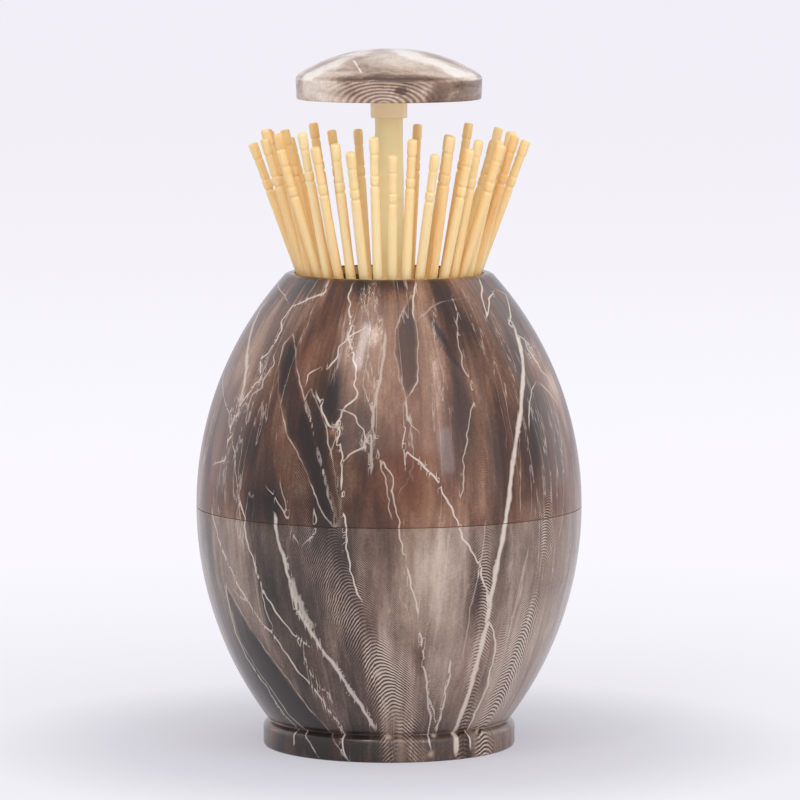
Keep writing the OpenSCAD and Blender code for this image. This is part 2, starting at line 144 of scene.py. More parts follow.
def eased(corners: Sequence[tuple[float, float, float]], steps: int = 5, loop: bool = True) -> np.ndarray:
    """Rounds the corners of an outline.

    Each corner becomes a parabola between the two points that lie one rounding away from it along
    its sides: (1 - t)^2 before + 2 t (1 - t) corner + t^2 after.

    Args:
        corners: radius, height and rounding of each corner.
        steps: points in each rounding.
        loop: whether the last corner joins the first.

    Returns:
        The outline's points, one a row, with doubles left out.
    """
    table = np.asarray(corners, float)
    place, reach = table[:, :2], table[:, 2:3]
    ahead = np.roll(place, -1, axis=0) - place
    behind = np.roll(place, 1, axis=0) - place
    span_ahead = np.linalg.norm(ahead, axis=1, keepdims=True)
    span_behind = np.linalg.norm(behind, axis=1, keepdims=True)
    reach = np.minimum(reach, np.minimum(span_ahead, span_behind) * 0.48)
    if not loop:
        reach[[0, -1]] = 0
    before = place + behind / span_behind * reach
    after = place + ahead / span_ahead * reach
    t = np.linspace(0, 1, steps)[None, :, None]
    curve = (1 - t) ** 2 * before[:, None] + 2 * t * (1 - t) * place[:, None] + t**2 * after[:, None]
    points = curve.reshape(-1, 2)
    gap = np.linalg.norm(points - np.roll(points, 1, axis=0), axis=1)
    gap[0] = gap[0] if loop else 1
    return points[gap > 1e-6]


def flowing(points: np.ndarray, steps: int) -> np.ndarray:
    """Draws a smooth curve through points.

    Between two points the curve is the Catmull-Rom cubic, whose slope at each point is half the
    step from the point before it to the one after it.

    Args:
        points: the points, one a row.
        steps: how many parts each stretch is cut into.

    Returns:
        The curve's points, with the given ones among them.
    """
    ends = np.vstack([2 * points[0] - points[1], points, 2 * points[-1] - points[-2]])
    p0, p1, p2, p3 = (ends[i : len(ends) - 3 + i, None] for i in range(4))
    t = (np.arange(steps) / steps)[None, :, None]
    bend, twist = 2 * p0 - 5 * p1 + 4 * p2 - p3, 3 * p1 - p0 - 3 * p2 + p3
    curve = 0.5 * (2 * p1 + (p2 - p0) * t + bend * t**2 + twist * t**3)
    return np.vstack([curve.reshape(-1, points.shape[1]), points[-1:]])


def filled_in(outline: np.ndarray, spacing: float) -> np.ndarray:
    """Adds points along the long sides of a closed outline.

    Args:
        outline: the outline's points, one a row.
        spacing: the widest step to leave.

    Returns:
        The outline with points no further apart than the spacing.
    """
    ahead = np.roll(outline, -1, axis=0)
    parts = np.maximum(np.ceil(np.linalg.norm(ahead - outline, axis=1) / spacing), 1).astype(int)
    start = np.repeat(outline, parts, axis=0)
    end = np.repeat(ahead, parts, axis=0)
    first = np.repeat(np.cumsum(parts) - parts, parts)
    share = ((np.arange(parts.sum()) - first) / np.repeat(parts, parts))[:, None]
    return start + (end - start) * share


def filled_open(outline: np.ndarray, spacing: float) -> np.ndarray:
    """Adds points along the long sides of an open outline, as filled_in does on a closed one."""
    closed = filled_in(outline, spacing)
    end = np.flatnonzero(np.all(np.isclose(closed, outline[-1]), axis=1))[-1]
    return closed[: end + 1]


def turned(outline: np.ndarray, around: int, edge: Edge = Edge.LOOP) -> Surface:
    """Turns an outline round the z axis.

    A point at radius r and height z goes to (r sin a, -r cos a, z) for each of the angles a.

    Args:
        outline: radius and height of each point, one a row.
        around: number of angles.
        edge: whether the outline is a loop or ends on the axis.

    Returns:
        The closed surface, its faces pointing outwards.
    """
    r, z = outline.T
    area = np.sum(r * np.roll(z, -1) - np.roll(r, -1) * z)
    if area < 0:
        r, z = r[::-1], z[::-1]
    angle = np.arange(around) / around * math.tau
    rows = len(r) if edge is Edge.LOOP else len(r) - 2
    ring_r, ring_z = (r, z) if edge is Edge.LOOP else (r[1:-1], z[1:-1])
    grid = np.stack(
        [np.outer(ring_r, np.sin(angle)), np.outer(ring_r, -np.cos(angle)), np.outer(ring_z, np.ones(around))],
        axis=-1,
    )
    number = np.arange(rows * around).reshape(rows, around)
    low = number if edge is Edge.LOOP else number[:-1]
    high = np.roll(number, -1, axis=0) if edge is Edge.LOOP else number[1:]
    quads = np.stack([low, np.roll(low, -1, 1), np.roll(high, -1, 1), high], axis=-1).reshape(-1, 4)
    if edge is Edge.LOOP:
        return Surface(grid.reshape(-1, 3), quads)
    poles = np.array([[0, 0, z[0]], [0, 0, z[-1]]])
    start = rows * around
    first, last = number[0], number[-1]
    fans = np.vstack(
        [
            np.stack([np.full(around, start), np.roll(first, -1), first], axis=-1),
            np.stack([last, np.roll(last, -1), np.full(around, start + 1)], axis=-1),
        ]
    )
    return Surface(np.vstack([grid.reshape(-1, 3), poles]), quads, fans)


def slotted_band(
    angles: np.ndarray, heights: np.ndarray, solid: np.ndarray, inner: float, outer: float
) -> Surface:
    """Builds a ring with openings from a grid of cells between two radii.

    Cell (i, j) lies between the angles i and i + 1 and the heights j and j + 1. Each solid cell has
    an inner and an outer face, and a face towards each neighbour that isn't solid.

    Args:
        angles: the angles in radians, once round without the last one.
        heights: the heights in millimetres.
        solid: which cells are solid, one row for each angle.
        inner: the inner radius.
        outer: the outer radius.

    Returns:
        The closed surface, its faces pointing outwards.
    """
    count, levels = len(angles), len(heights)
    grid = np.stack(
        [
            np.stack(
                [
                    np.outer(r * np.sin(angles), np.ones(levels)),
                    np.outer(-r * np.cos(angles), np.ones(levels)),
                    np.outer(np.ones(count), heights),
                ],
                axis=-1,
            )
            for r in (inner, outer)
        ]
    )
    number = np.arange(2 * count * levels).reshape(2, count, levels)
    far = np.roll(number, -1, axis=1)
    a, b = number[0, :, :-1], number[0, :, 1:]
    c, d = far[0, :, :-1], far[0, :, 1:]
    e, f = number[1, :, :-1], number[1, :, 1:]
    g, h = far[1, :, :-1], far[1, :, 1:]
    below = np.pad(solid, ((0, 0), (1, 0)))[:, :-1]
    above = np.pad(solid, ((0, 0), (0, 1)))[:, 1:]
    left, right = np.roll(solid, 1, axis=0), np.roll(solid, -1, axis=0)
    sides = [
        (solid, (e, g, h, f)),
        (solid, (a, b, d, c)),
        (solid & ~below, (a, c, g, e)),
        (solid & ~above, (b, f, h, d)),
        (solid & ~left, (a, e, f, b)),
        (solid & ~right, (c, d, h, g)),
    ]
    quads = np.vstack([np.stack([corner[mask] for corner in ring], axis=-1) for mask, ring in sides])
    used, fresh = np.unique(quads, return_inverse=True)
    return Surface(grid.reshape(-1, 3)[used], fresh.reshape(-1, 4))


def tube(path: np.ndarray, radius: float, sides: int) -> Surface:
    """Carries a circle along a path that winds round the z axis.

    At each point one direction across the wire points away from the axis, less its part along the
    wire, and the other is square to both.

    Args:
        path: the path's points, one a row.
        radius: the wire's radius.
        sides: points on each circle.

    Returns:
        The closed surface, its faces pointing outwards.
    """
    along = np.gradient(path, axis=0)
    along /= np.linalg.norm(along, axis=1, keepdims=True)
    away = path * [1, 1, 0]
    side = np.cross(along, away)
    side /= np.linalg.norm(side, axis=1, keepdims=True)
    out = np.cross(side, along)
    angle = np.arange(sides) / sides * math.tau
    ring = out[:, None] * np.cos(angle)[None, :, None] + side[:, None] * np.sin(angle)[None, :, None]
    points = (path[:, None] + radius * ring).reshape(-1, 3)
    number = np.arange(len(points)).reshape(len(path), sides)
    low, high = number[:-1], number[1:]
    quads = np.stack([low, high, np.roll(high, -1, 1), np.roll(low, -1, 1)], axis=-1).reshape(-1, 4)
    start = len(points)
    first, last = number[0], number[-1]
    fans = np.vstack(
        [
            np.stack([np.full(sides, start), first, np.roll(first, -1)], axis=-1),
            np.stack([np.full(sides, start + 1), np.roll(last, -1), last], axis=-1),
        ]
    )
    return Surface(np.vstack([points, path[[0, -1]]]), quads, fans)


def add_piece(name: str, surface: Surface, materials: Sequence[bpy.types.Material]) -> bpy.types.Object:
    """Puts a surface into the scene as a mesh object.

    Args:
        name: the piece's name.
        surface: its points and faces, in millimetres.
        materials: its materials, of which every face takes the first.

    Returns:
        The new object, at the origin.
    """
    mesh = bpy.data.meshes.new(name)
    corners = np.concatenate([surface.quads.ravel(), surface.triangles.ravel()]).astype(np.int32)
    sizes = np.repeat([4, 3], [len(surface.quads), len(surface.triangles)]).astype(np.int32)
    mesh.vertices.add(len(surface.points))
    mesh.vertices.foreach_set("co", (surface.points * MM).astype(np.float32).ravel())
    mesh.loops.add(len(corners))
    mesh.loops.foreach_set("vertex_index", corners)
    mesh.polygons.add(len(sizes))
    mesh.polygons.foreach_set("loop_start", (np.cumsum(sizes) - sizes).astype(np.int32))
    mesh.polygons.foreach_set("use_smooth", np.ones(len(sizes), bool))
    mesh.update(calc_edges=True)
    mesh.validate()
    for material in materials:
        mesh.materials.append(material)
    piece = bpy.data.objects.new(name, mesh)
    bpy.context.scene.collection.objects.link(piece)
    sharpen(mesh, 38)
    return piece


def sharpen(mesh: bpy.types.Mesh, degrees: float) -> None:
    """Marks the edges of a smooth mesh that turn more than an angle as sharp."""
    mesh.set_sharp_from_angle(angle=math.radians(degrees))


def give_attribute(piece: bpy.types.Object, name: str, values: np.ndarray) -> None:
    """Stores one number for each point of a piece, for its material to read."""
    layer = piece.data.attributes.new(name, "FLOAT", "POINT")
    layer.data.foreach_set("value", values.astype(np.float32))


def finish_piece(piece: bpy.types.Object, body: Body | str, nodes: Sequence[str]) -> None:
    """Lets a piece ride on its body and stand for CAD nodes."""
    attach(piece, body.value if isinstance(body, Body) else body)
    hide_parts(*nodes)
    log.info("%s: %d faces", piece.name, len(piece.data.polygons))


# Node materials


class Graph:
    """One node material, built up step by step round its principled shader."""

    def __init__(self, name: str) -> None:
        """Starts a material with a bare principled shader."""
        self.material = bpy.data.materials.new(name)
        self.material.use_nodes = True
        self.tree = self.material.node_tree
        self.shader = self.tree.nodes["Principled BSDF"]

    def node(self, kind: str, **settings: object) -> bpy.types.Node:
        """Adds a node and sets its options."""
        made = self.tree.nodes.new(kind)
        for key, value in settings.items():
            setattr(made, key, value)
        return made

    def feed(self, socket: bpy.types.NodeSocket, value: object) -> None:
        """Links a socket to another one, or sets its value."""
        if isinstance(value, bpy.types.NodeSocket):
            self.tree.links.new(value, socket)
        else:
            socket.default_value = value

    def math(self, operation: str, *values: object, clamp: bool = False) -> bpy.types.NodeSocket:
        """Adds a Math node fed with sockets or numbers and returns its result."""
        made = self.node("ShaderNodeMath", operation=operation, use_clamp=clamp)
        for socket, value in zip(made.inputs, values):
            self.feed(socket, value)
        return made.outputs[0]

    def plus(self, first: Socket, *others: Socket) -> Socket:
        """Adds values up."""
        for other in others:
            first = self.math("ADD", first, other)
        return first

    def times(self, first: Socket, *others: Socket) -> Socket:
        """Multiplies values."""
        for other in others:
            first = self.math("MULTIPLY", first, other)
        return first

    def most(self, first: Socket, *others: Socket) -> Socket:
        """Returns the greatest of some values."""
        for other in others:
            first = self.math("MAXIMUM", first, other)
        return first

    def less(self, first: Socket, second: Socket) -> Socket:
        """Takes the second value from the first."""
        return self.math("SUBTRACT", first, second)

    def size(self, value: Socket) -> Socket:
        """Returns a value without its sign."""
        return self.math("ABSOLUTE", value)

    def centred(self, value: Socket, weight: float = 1) -> Socket:
        """Shifts a value from around a half to around zero and weighs it."""
        return self.times(self.less(value, 0.5), weight)

    def attribute(self, name: str) -> bpy.types.NodeSocket:
        """Returns the number that the piece's points hold under a name."""
        return self.node("ShaderNodeAttribute", attribute_name=name).outputs["Fac"]

    def place(self) -> bpy.types.NodeSocket:
        """Returns the point in the piece's own coordinates."""
        return self.node("ShaderNodeTexCoord").outputs["Object"]

    def round_place(self, rise: float) -> bpy.types.NodeSocket:
        """Returns (x / r, y / r, z times rise), which has no seam round the axis.

        Args:
            rise: how much the height counts, per metre.

        Returns:
            The vector socket.
        """
        split = self.node("ShaderNodeSeparateXYZ")
        self.feed(split.inputs[0], self.place())
        x, y, z = split.outputs
        squares = self.math("ADD", self.math("MULTIPLY", x, x), self.math("MULTIPLY", y, y))
        radius = self.math("MAXIMUM", self.math("SQRT", squares), 1e-5)
        joined = self.node("ShaderNodeCombineXYZ")
        parts = (self.math("DIVIDE", x, radius), self.math("DIVIDE", y, radius), self.times(z, rise))
        for socket, part in zip(joined.inputs, parts):
            self.feed(socket, part)
        return joined.outputs[0]

    def noise(
        self, vector: Socket, scale: float, detail: float = 4, rough: float = 0.5, warp: float = 0
    ) -> Socket:
        """Adds a noise texture and returns its value.

        Args:
            vector: where it is read.
            scale: how fine it is.
            detail: number of finer layers.
            rough: weight of the finer layers.
            warp: how much it distorts itself.

        Returns:
            The value socket, about 0 to 1.
        """
        made = self.node("ShaderNodeTexNoise")
        self.feed(made.inputs["Vector"], vector)
        for key, value in (("Scale", scale), ("Detail", detail), ("Roughness", rough), ("Distortion", warp)):
            made.inputs[key].default_value = value
        return made.outputs["Fac"]

    def between(self, value: Socket, low: float, high: float, to_low: float = 0, to_high: float = 1) -> Socket:
        """Maps a value smoothly from one range to another.

        Args:
            value: the value.
            low: where the first range starts.
            high: where it ends.
            to_low: where the second range starts.
            to_high: where it ends.

        Returns:
            The mapped value.
        """
        made = self.node("ShaderNodeMapRange", interpolation_type="SMOOTHSTEP")
        keys = ("Value", "From Min", "From Max", "To Min", "To Max")
        for key, part in zip(keys, (value, low, high, to_low, to_high)):
            self.feed(made.inputs[key], part)
        return made.outputs[0]

    def ramp(self, value: object, stops: Sequence[tuple[float, Colour]]) -> bpy.types.NodeSocket:
        """Adds a colour ramp.

        Args:
            value: where it is read.
            stops: place and screen colour of each stop.

        Returns:
            The colour socket.
        """
        made = self.node("ShaderNodeValToRGB")
        self.feed(made.inputs[0], value)
        band = made.color_ramp.elements
        for index, (at, colour) in enumerate(stops):
            stop = band[index] if index < 2 else band.new(at)
            stop.position = at
            stop.color = linear(colour)
        return made.outputs["Color"]

    def mixed(self, share: Socket, first: object, second: object) -> Socket:
        """Mixes two colours and returns the result."""
        made = self.node("ShaderNodeMix", data_type="RGBA")
        self.feed(made.inputs["Factor"], share)
        sockets = [s for s in made.inputs if s.type == "RGBA"]
        self.feed(sockets[0], first)
        self.feed(sockets[1], second)
        return [s for s in made.outputs if s.type == "RGBA"][0]

    def bump(self, height: object, depth: float, strength: float = 1) -> None:
        """Raises the shader's surface by a height value times a depth in metres."""
        made = self.node("ShaderNodeBump")
        made.inputs["Strength"].default_value = strength
        made.inputs["Distance"].default_value = depth
        self.feed(made.inputs["Height"], height)
        self.feed(self.shader.inputs["Normal"], made.outputs[0])

    def set(self, **values: object) -> None:
        """Sets the shader's sockets, with spaces in their names written as underscores."""
        for key, value in values.items():
            self.feed(self.shader.inputs[key.replace("_", " ")], value)


# The egg's shape and the photograph's camera


@dataclass(frozen=True)
class View:
    """The photograph's camera, which also places the marks that were read from the photograph."""

    place: tuple[float, float, float] = (0.00216, -1.080, 0.1785)
    pitch: float = -5.83
    lens: float = 248.0
    sensor: float = 36.0

    def rays(self, pixels: Sequence[Pixel]) -> tuple[np.ndarray, np.ndarray]:
        """Finds the rays through pixels.

        Args:
            pixels: column and row of each pixel, in the photograph's frame.

        Returns:
            The camera's place and the rays' directions, one a row, in millimetres.
        """
        middle = IMAGE_SIDE / 2
        focal = self.lens / self.sensor * IMAGE_SIDE
        column, row = np.asarray(pixels, float).T
        tilt = math.radians(self.pitch)
        forward = np.array([0, math.cos(tilt), math.sin(tilt)])
        up = np.array([0, -math.sin(tilt), math.cos(tilt)])
        across = (column - middle)[:, None] * np.array([1, 0, 0])
        direction = forward * focal + across + (middle - row)[:, None] * up
        direction /= np.linalg.norm(direction, axis=1, keepdims=True)
        return np.asarray(self.place) / MM, direction

    def add_camera(self) -> None:
        """Makes the scene's camera."""
        data = bpy.data.cameras.new("camera")
        data.lens, data.sensor_width = self.lens, self.sensor
        data.clip_start, data.clip_end = 0.05, 100
        camera = bpy.data.objects.new("camera", data)
        camera.location = self.place
        camera.rotation_euler = (math.radians(90 + self.pitch), 0, 0)
        bpy.context.scene.collection.objects.link(camera)
        bpy.context.scene.camera = camera


@dataclass(frozen=True)
class Egg:
    """Outer shape of the two shells: arcs whose middle is at the seam's height, and the foot band."""

    body_r: float = 38.0
    seam_z: float = 47.5
    wall: float = 2.0
    rim_z: float = 93.5
    mouth_r: float = 18.6
    lip_w: float = 1.1
    lip_edge: float = 0.4
    foot_r: float = 24.87
    foot_h: float = 4.4
    foot_round: float = 1.1
    neck_r: float = 23.8
    waist_r: float = 23.4

    @property
    def lip_r(self) -> float:
        """Outer radius of the flat ring on the rim."""
        return self.mouth_r + self.lip_w

    @property
    def waist_z(self) -> float:
        """Height of the groove above the foot."""
        return self.foot_h + self.foot_round * 0.7

    def radius_of_arc(self, upper: bool) -> float:
        """Radius of an arc from its height h and its depth d: (h^2 + d^2) / 2 d."""
        height = self.rim_z - self.seam_z if upper else self.seam_z - self.waist_z
        depth = self.body_r - (self.lip_r + self.lip_w * 0.4 if upper else self.neck_r)
        return (height**2 + depth**2) / (2 * depth)

    def arc(self, low: float, high: float, upper: bool, inset: float = 0, spacing: float = 0.5) -> np.ndarray:
        """Samples an arc: r = body_r - rad + sqrt((rad - inset)^2 - (z - seam_z)^2).

        Args:
            low: height of the first point.
            high: height of the last point.
            upper: whether the arc is the upper shell's.
            inset: distance inside the outer surface.
            spacing: step between points.

        Returns:
            Radius and height of each point, one a row.
        """
        rad = self.radius_of_arc(upper)
        z = np.linspace(low, high, max(int(abs(high - low) / spacing), 2) + 1)
        r = self.body_r - rad + np.sqrt((rad - inset) ** 2 - (z - self.seam_z) ** 2)
        return np.column_stack([r, z])

    def radius_at(self, z: np.ndarray) -> np.ndarray:
        """Returns the outer radius at each height, the foot band included."""
        outline = np.vstack(
            [
                [[self.foot_r, 0], [self.foot_r, self.foot_h]],
                self.arc(self.waist_z, self.seam_z, False)[1:],
                self.arc(self.seam_z, self.rim_z, True)[1:],
            ]
        )
        return np.interp(z, outline[:, 1], outline[:, 0])

    def marks(self, pixels: Sequence[Pixel], view: View) -> np.ndarray:
        """Finds where the rays through pixels meet the egg.

        Each ray is walked past the egg in small steps. Its first point inside is taken, or its
        nearest one where it just misses.

        Args:
            pixels: column and row of each pixel.
            view: the camera.

        Returns:
            Azimuth in radians, 0 at the front, and height in millimetres, one row a pixel.
        """
        origin, direction = view.rays(pixels)
        reach = -origin[1] + np.linspace(-self.body_r - 1, self.body_r, 1600)
        points = origin + direction[:, None] * reach[None, :, None]
        excess = np.hypot(points[..., 0], points[..., 1]) - self.radius_at(points[..., 2])
        inside = excess < 0
        step = np.where(inside.any(axis=1), inside.argmax(axis=1), excess.argmin(axis=1))
        hit = points[np.arange(len(points)), step]
        return np.column_stack([np.arctan2(hit[:, 0], -hit[:, 1]), hit[:, 2]])


# The printed marble pattern, as lines and patches read from the photograph; two dark patches at the egg's
# sides are painted shade


@dataclass(frozen=True)
class Vein:
    """A pale line: the pixels that it runs through, its width and jaggedness, and its strength."""

    pixels: tuple[Pixel, ...]
    width: float = 0.3
    jag: float = 0.35
    strength: float = 0.9


@dataclass(frozen=True)
class Almond:
    """A long closed patch between a left and a right line, dark inside and pale along its edge."""

    left: tuple[Pixel, ...]
    right: tuple[Pixel, ...]
    dark: float = 0.5


@dataclass(frozen=True)
class Patch:
    """A soft light or dark patch: its middle and half sizes in pixels, its lean and its amount."""

    middle: Pixel
    half: tuple[float, float]
    amount: float
    lean: float = 0.0


VEINS = (
    Vein(
        (
            (331, 279), (324, 292), (302, 302), (291, 306), (280, 331), (274, 344), (263, 359),
            (259, 380), (253, 387), (239, 409), (232, 420), (231, 436), (223, 460), (213, 465),
        ),
        0.32, 0.9,
    ),
    Vein(
        (
            (218, 352), (223, 380), (229, 413), (231, 436), (235, 454), (238, 494), (242, 525),
        ),
        0.22, 0.3, 0.7,
    ),
    Vein(((268, 300), (261, 308), (250, 336), (247, 367), (244, 385), (240, 405)), 0.9, 0.2, 0.75),
    Vein(((277, 352), (268, 372), (262, 388), (252, 396), (244, 412)), 0.35, 1.0, 0.6),
    Vein(((366, 327), (353, 334), (346, 342), (340, 346), (334, 361), (326, 371)), 0.3, 0.5),
    Vein(((320, 367), (313, 371), (308, 375), (306, 386)), 0.3, 0.3),
    Vein(
        (
            (352, 284), (349, 321), (353, 357), (357, 380), (356, 398), (346, 405), (341, 413),
            (338, 429),
        ),
        0.32, 0.7,
    ),
    Vein(((344, 408), (352, 414), (362, 430), (368, 446)), 0.3, 0.9, 0.7),
    Vein(
        (
            (340, 413), (339, 443), (343, 459), (341, 482), (343, 512), (346, 528), (349, 566),
            (361, 602),
        ),
        0.3, 0.4,
    ),
    Vein(((371, 436), (366, 445), (357, 450), (346, 456), (343, 462)), 0.35, 0.9, 0.7),
    Vein(((317, 392), (323, 415), (329, 426), (338, 430)), 0.42, 0.5),
    Vein(((338, 429), (334, 444), (331, 456)), 0.25, 0.5, 0.5),
    Vein(((385, 330), (384, 357), (377, 392), (372, 423), (371, 474)), 0.55, 0.2, 0.5),
    Vein(((363, 384), (371, 410), (376, 446), (384, 474), (392, 520)), 0.25, 0.4, 0.5),
    Vein(((376, 458), (384, 462), (392, 477), (394, 500), (399, 525), (404, 560)), 0.3, 0.4, 0.7),
    Vein(((416, 281), (411, 306), (416, 321)), 0.28, 0.5),
    Vein(((407, 399), (406, 415), (403, 449), (405, 470)), 0.22, 0.3, 0.7),
    Vein(((407, 412), (412, 424), (419, 434)), 0.2, 0.4, 0.7),
    Vein(
        (
            (404, 448), (417, 459), (434, 477), (448, 500), (459, 528), (471, 551), (481, 569),
            (486, 592), (488, 610),
        ),
        0.36, 0.5,
    ),
    Vein(
        (
            (453, 296), (458, 340), (462, 366), (471, 380), (473, 402), (467, 433), (464, 459),
            (463, 482), (460, 510),
        ),
        0.25, 0.4, 0.6,
    ),
    Vein(((478, 276), (482, 294), (486, 321)), 0.32, 0.6),
    Vein(((486, 321), (488, 299), (495, 290)), 0.28, 0.6),
    Vein(((495, 289), (506, 295), (510, 308), (509, 324), (515, 331)), 0.34, 0.6),
    Vein(
        (
            (512, 322), (517, 336), (522, 354), (522, 392), (518, 428), (513, 459), (510, 487),
            (505, 525), (502, 541), (497, 566), (490, 602), (486, 628), (476, 666), (466, 702),
            (455, 730), (456, 756),
        ),
        1.1, 0.15, 0.95,
    ),
    Vein(((515, 331), (524, 340), (529, 352), (536, 362), (548, 378), (552, 388)), 0.4, 0.9, 0.8),
    Vein(((529, 430), (529, 408), (531, 390), (536, 381)), 0.28, 0.3, 0.8),
    Vein(((538, 382), (547, 390), (557, 403), (561, 420)), 0.28, 0.3, 0.8),
    Vein(((488, 620), (495, 633), (494, 656), (483, 697), (469, 725), (471, 750)), 0.4, 0.4),
    Vein(((406, 566), (416, 602), (422, 648), (427, 694), (430, 720), (431, 750)), 0.34, 0.3, 0.8),
    Vein(((450, 656), (449, 679), (441, 712), (438, 735)), 0.36, 0.4, 0.8),
    Vein(((428, 690), (433, 712), (438, 735)), 0.25, 0.4, 0.7),
    Vein(
        (
            (274, 512), (276, 521), (278, 541), (286, 564), (293, 597), (302, 618), (318, 643),
            (340, 674), (358, 702), (376, 730),
        ),
        0.75, 0.3, 0.85,
    ),
    Vein(((292, 577), (297, 596), (303, 612), (314, 628)), 1.2, 0.3, 0.6),
    Vein(
        (
            (212, 505), (213, 518), (228, 564), (247, 600), (259, 620), (272, 632), (282, 648),
            (297, 669), (318, 694), (341, 727), (343, 745), (347, 760),
        ),
        0.36, 0.4,
    ),
    Vein(
        (
            (239, 494), (244, 516), (247, 541), (255, 566), (266, 597), (284, 622), (292, 633),
            (310, 648),
        ),
        0.36, 0.4,
    ),
    Vein(((257, 566), (264, 602), (272, 628)), 0.22, 0.4, 0.7),
    Vein(((298, 636), (304, 660), (318, 684), (334, 704)), 0.3, 0.8, 0.6),
    Vein(
        (
            (226, 582), (229, 606), (236, 633), (246, 656), (266, 686), (284, 714), (296, 727),
            (295, 748),
        ),
        0.34, 0.3, 0.8,
    ),
    Vein(((232, 588), (241, 597), (249, 603), (262, 622)), 0.3, 0.4, 0.7),
    Vein(((266, 486), (276, 500), (285, 512), (290, 530), (298, 544)), 0.25, 0.4, 0.7),
    Vein(((313, 505), (317, 520), (314, 534), (303, 545)), 0.25, 0.3, 0.7),
    Vein(((280, 478), (284, 500), (290, 522)), 0.2, 0.3, 0.5),
    Vein(((529, 546), (520, 585), (511, 625), (503, 655)), 0.3, 0.2, 0.4),
    Vein(((486, 520), (481, 560), (470, 610), (462, 660)), 0.3, 0.2, 0.35),
    Vein(((281, 278), (285, 295), (288, 304)), 0.2, 0.4, 0.6),
    Vein(((416, 321), (430, 307), (447, 300), (470, 298)), 0.25, 0.5, 0.35),
)

ALMONDS = (
    Almond(
        (
            (292, 334), (284, 344), (279, 362), (278, 377), (281, 408), (288, 436),
            (298, 454), (308, 474), (314, 494), (322, 512), (334, 527),
        ),
        (
            (293, 334), (295, 344), (298, 372), (303, 395), (311, 423), (317, 451),
            (325, 482), (331, 505), (335, 527),
        ),
        0.26,
    ),
    Almond(
        ((310, 389), (306, 398), (309, 410), (318, 450), (327, 482), (334, 505), (340, 530)),
        ((311, 389), (316, 398), (322, 415), (327, 432), (334, 470), (339, 500), (341, 530)),
        0.1,
    ),
    Almond(
        ((411, 296), (406, 306), (399, 318), (395, 330), (395, 354), (400, 382), (406, 398)),
        ((412, 296), (414, 308), (415, 318), (417, 330), (418, 354), (417, 382), (408, 398)),
        0.34,
    ),
    Almond(
        ((225, 586), (231, 612), (240, 640), (254, 664), (272, 690), (290, 716), (306, 737), (324, 764)),
        ((227, 586), (246, 620), (262, 645), (278, 666), (294, 688), (312, 712), (332, 737), (350, 764)),
        0.3,
    ),
)

TONE_PATCHES_AND_PAINTED_SHADE = (
    Patch((288, 368), (9, 34), -0.45, 2),
    Patch((333, 391), (9, 22), -0.5),
    Patch((310, 284), (17, 12), -0.4, -20),
    Patch((362, 284), (8, 8), -0.55),
    Patch((396, 283), (16, 7), -0.6),
    Patch((250, 508), (6, 18), -0.5),
    Patch((270, 508), (12, 22), -0.4),
    Patch((322, 494), (14, 44), -0.55, -10),
    Patch((334, 548), (14, 30), -0.5, -15),
    Patch((252, 440), (12, 50), -0.25, 8),
    Patch((468, 328), (10, 22), -0.3),
    Patch((510, 350), (8, 18), -0.3, 10),
    # Painted shade: this patch and the next darken the egg's right and left sides.
    Patch((540, 446), (24, 70), -0.7),
    Patch((246, 446), (22, 50), -0.35),
    Patch((262, 590), (22, 50), -0.2, -20),
    Patch((536, 590), (18, 60), -0.14),
    Patch((470, 440), (40, 70), -0.12),
    Patch((440, 334), (2.2, 16), -0.8, -22),
    Patch((451, 357), (1.0, 14), -0.5, -35),
    Patch((478, 590), (7, 40), -0.35, 4),
    Patch((320, 747), (24, 11), -0.5),
    Patch((275, 690), (16, 40), -0.45, -35),
    Patch((470, 380), (10, 40), 0.22),
    Patch((437, 570), (20, 60), 0.36, 4),
    Patch((452, 660), (22, 60), 0.26, 6),
    Patch((385, 400), (16, 60), 0.14),
    Patch((480, 480), (14, 70), 0.2, 6),
    Patch((380, 600), (14, 30), 0.16),
    Patch((345, 620), (14, 30), 0.14, -20),
    Patch((240, 380), (10, 26), 0.22, 10),
    Patch((280, 420), (12, 30), 0.1),
    Patch((252, 350), (8, 30), 0.25, 15),
    Patch((534, 360), (6, 9), 0.45, -30),
    Patch((553, 385), (7, 22), 0.5, -20),
    Patch((374, 336), (6, 10), 0.4, 20),
    Patch((388, 737), (3, 2), 1.0),
    Patch((435, 736), (2.5, 1.8), 1.0),
    Patch((431, 755), (3, 1.6), 1.0),
    Patch((377, 674), (4, 3.5), 0.8),
    Patch((333, 432), (6, 5), 0.5),
)

REDDISH = (
    Patch((306, 355), (7, 14), 0.6),
    Patch((536, 370), (7, 10), 1.0, -30),
    Patch((216, 458), (3.2, 46), 1.6, 6),
    Patch((556, 500), (8, 60), 0.5),
    Patch((272, 728), (5, 14), 0.8),
    Patch((510, 734), (7, 12), 0.8),
    Patch((210, 500), (8, 30), 0.5),
    Patch((330, 330), (14, 40), 0.35),
    Patch((420, 470), (50, 60), 0.3),
)

LACES = (
    Patch((369, 298), (11, 15), 1.0),
    Patch((375, 332), (8, 14), 1.0, 15),
    Patch((351, 345), (5, 20), 0.7),
    Patch((236, 408), (7, 18), 0.9, 15),
    Patch((338, 428), (8, 8), 0.9),
    Patch((366, 440), (10, 12), 0.8, 20),
    Patch((533, 352), (8, 16), 0.9, -25),
    Patch((262, 372), (6, 22), 0.7),
)

FOLDS = (
    (
        (318, 440), (326, 490), (329, 518), (343, 566), (363, 612), (379, 656),
        (391, 689), (398, 720), (399, 758),
    ),
    ((546, 400), (546, 516), (543, 554), (532, 602), (516, 648), (501, 689), (488, 720), (486, 750)),
    ((486, 520), (481, 602), (474, 680), (462, 730), (461, 750)),
)


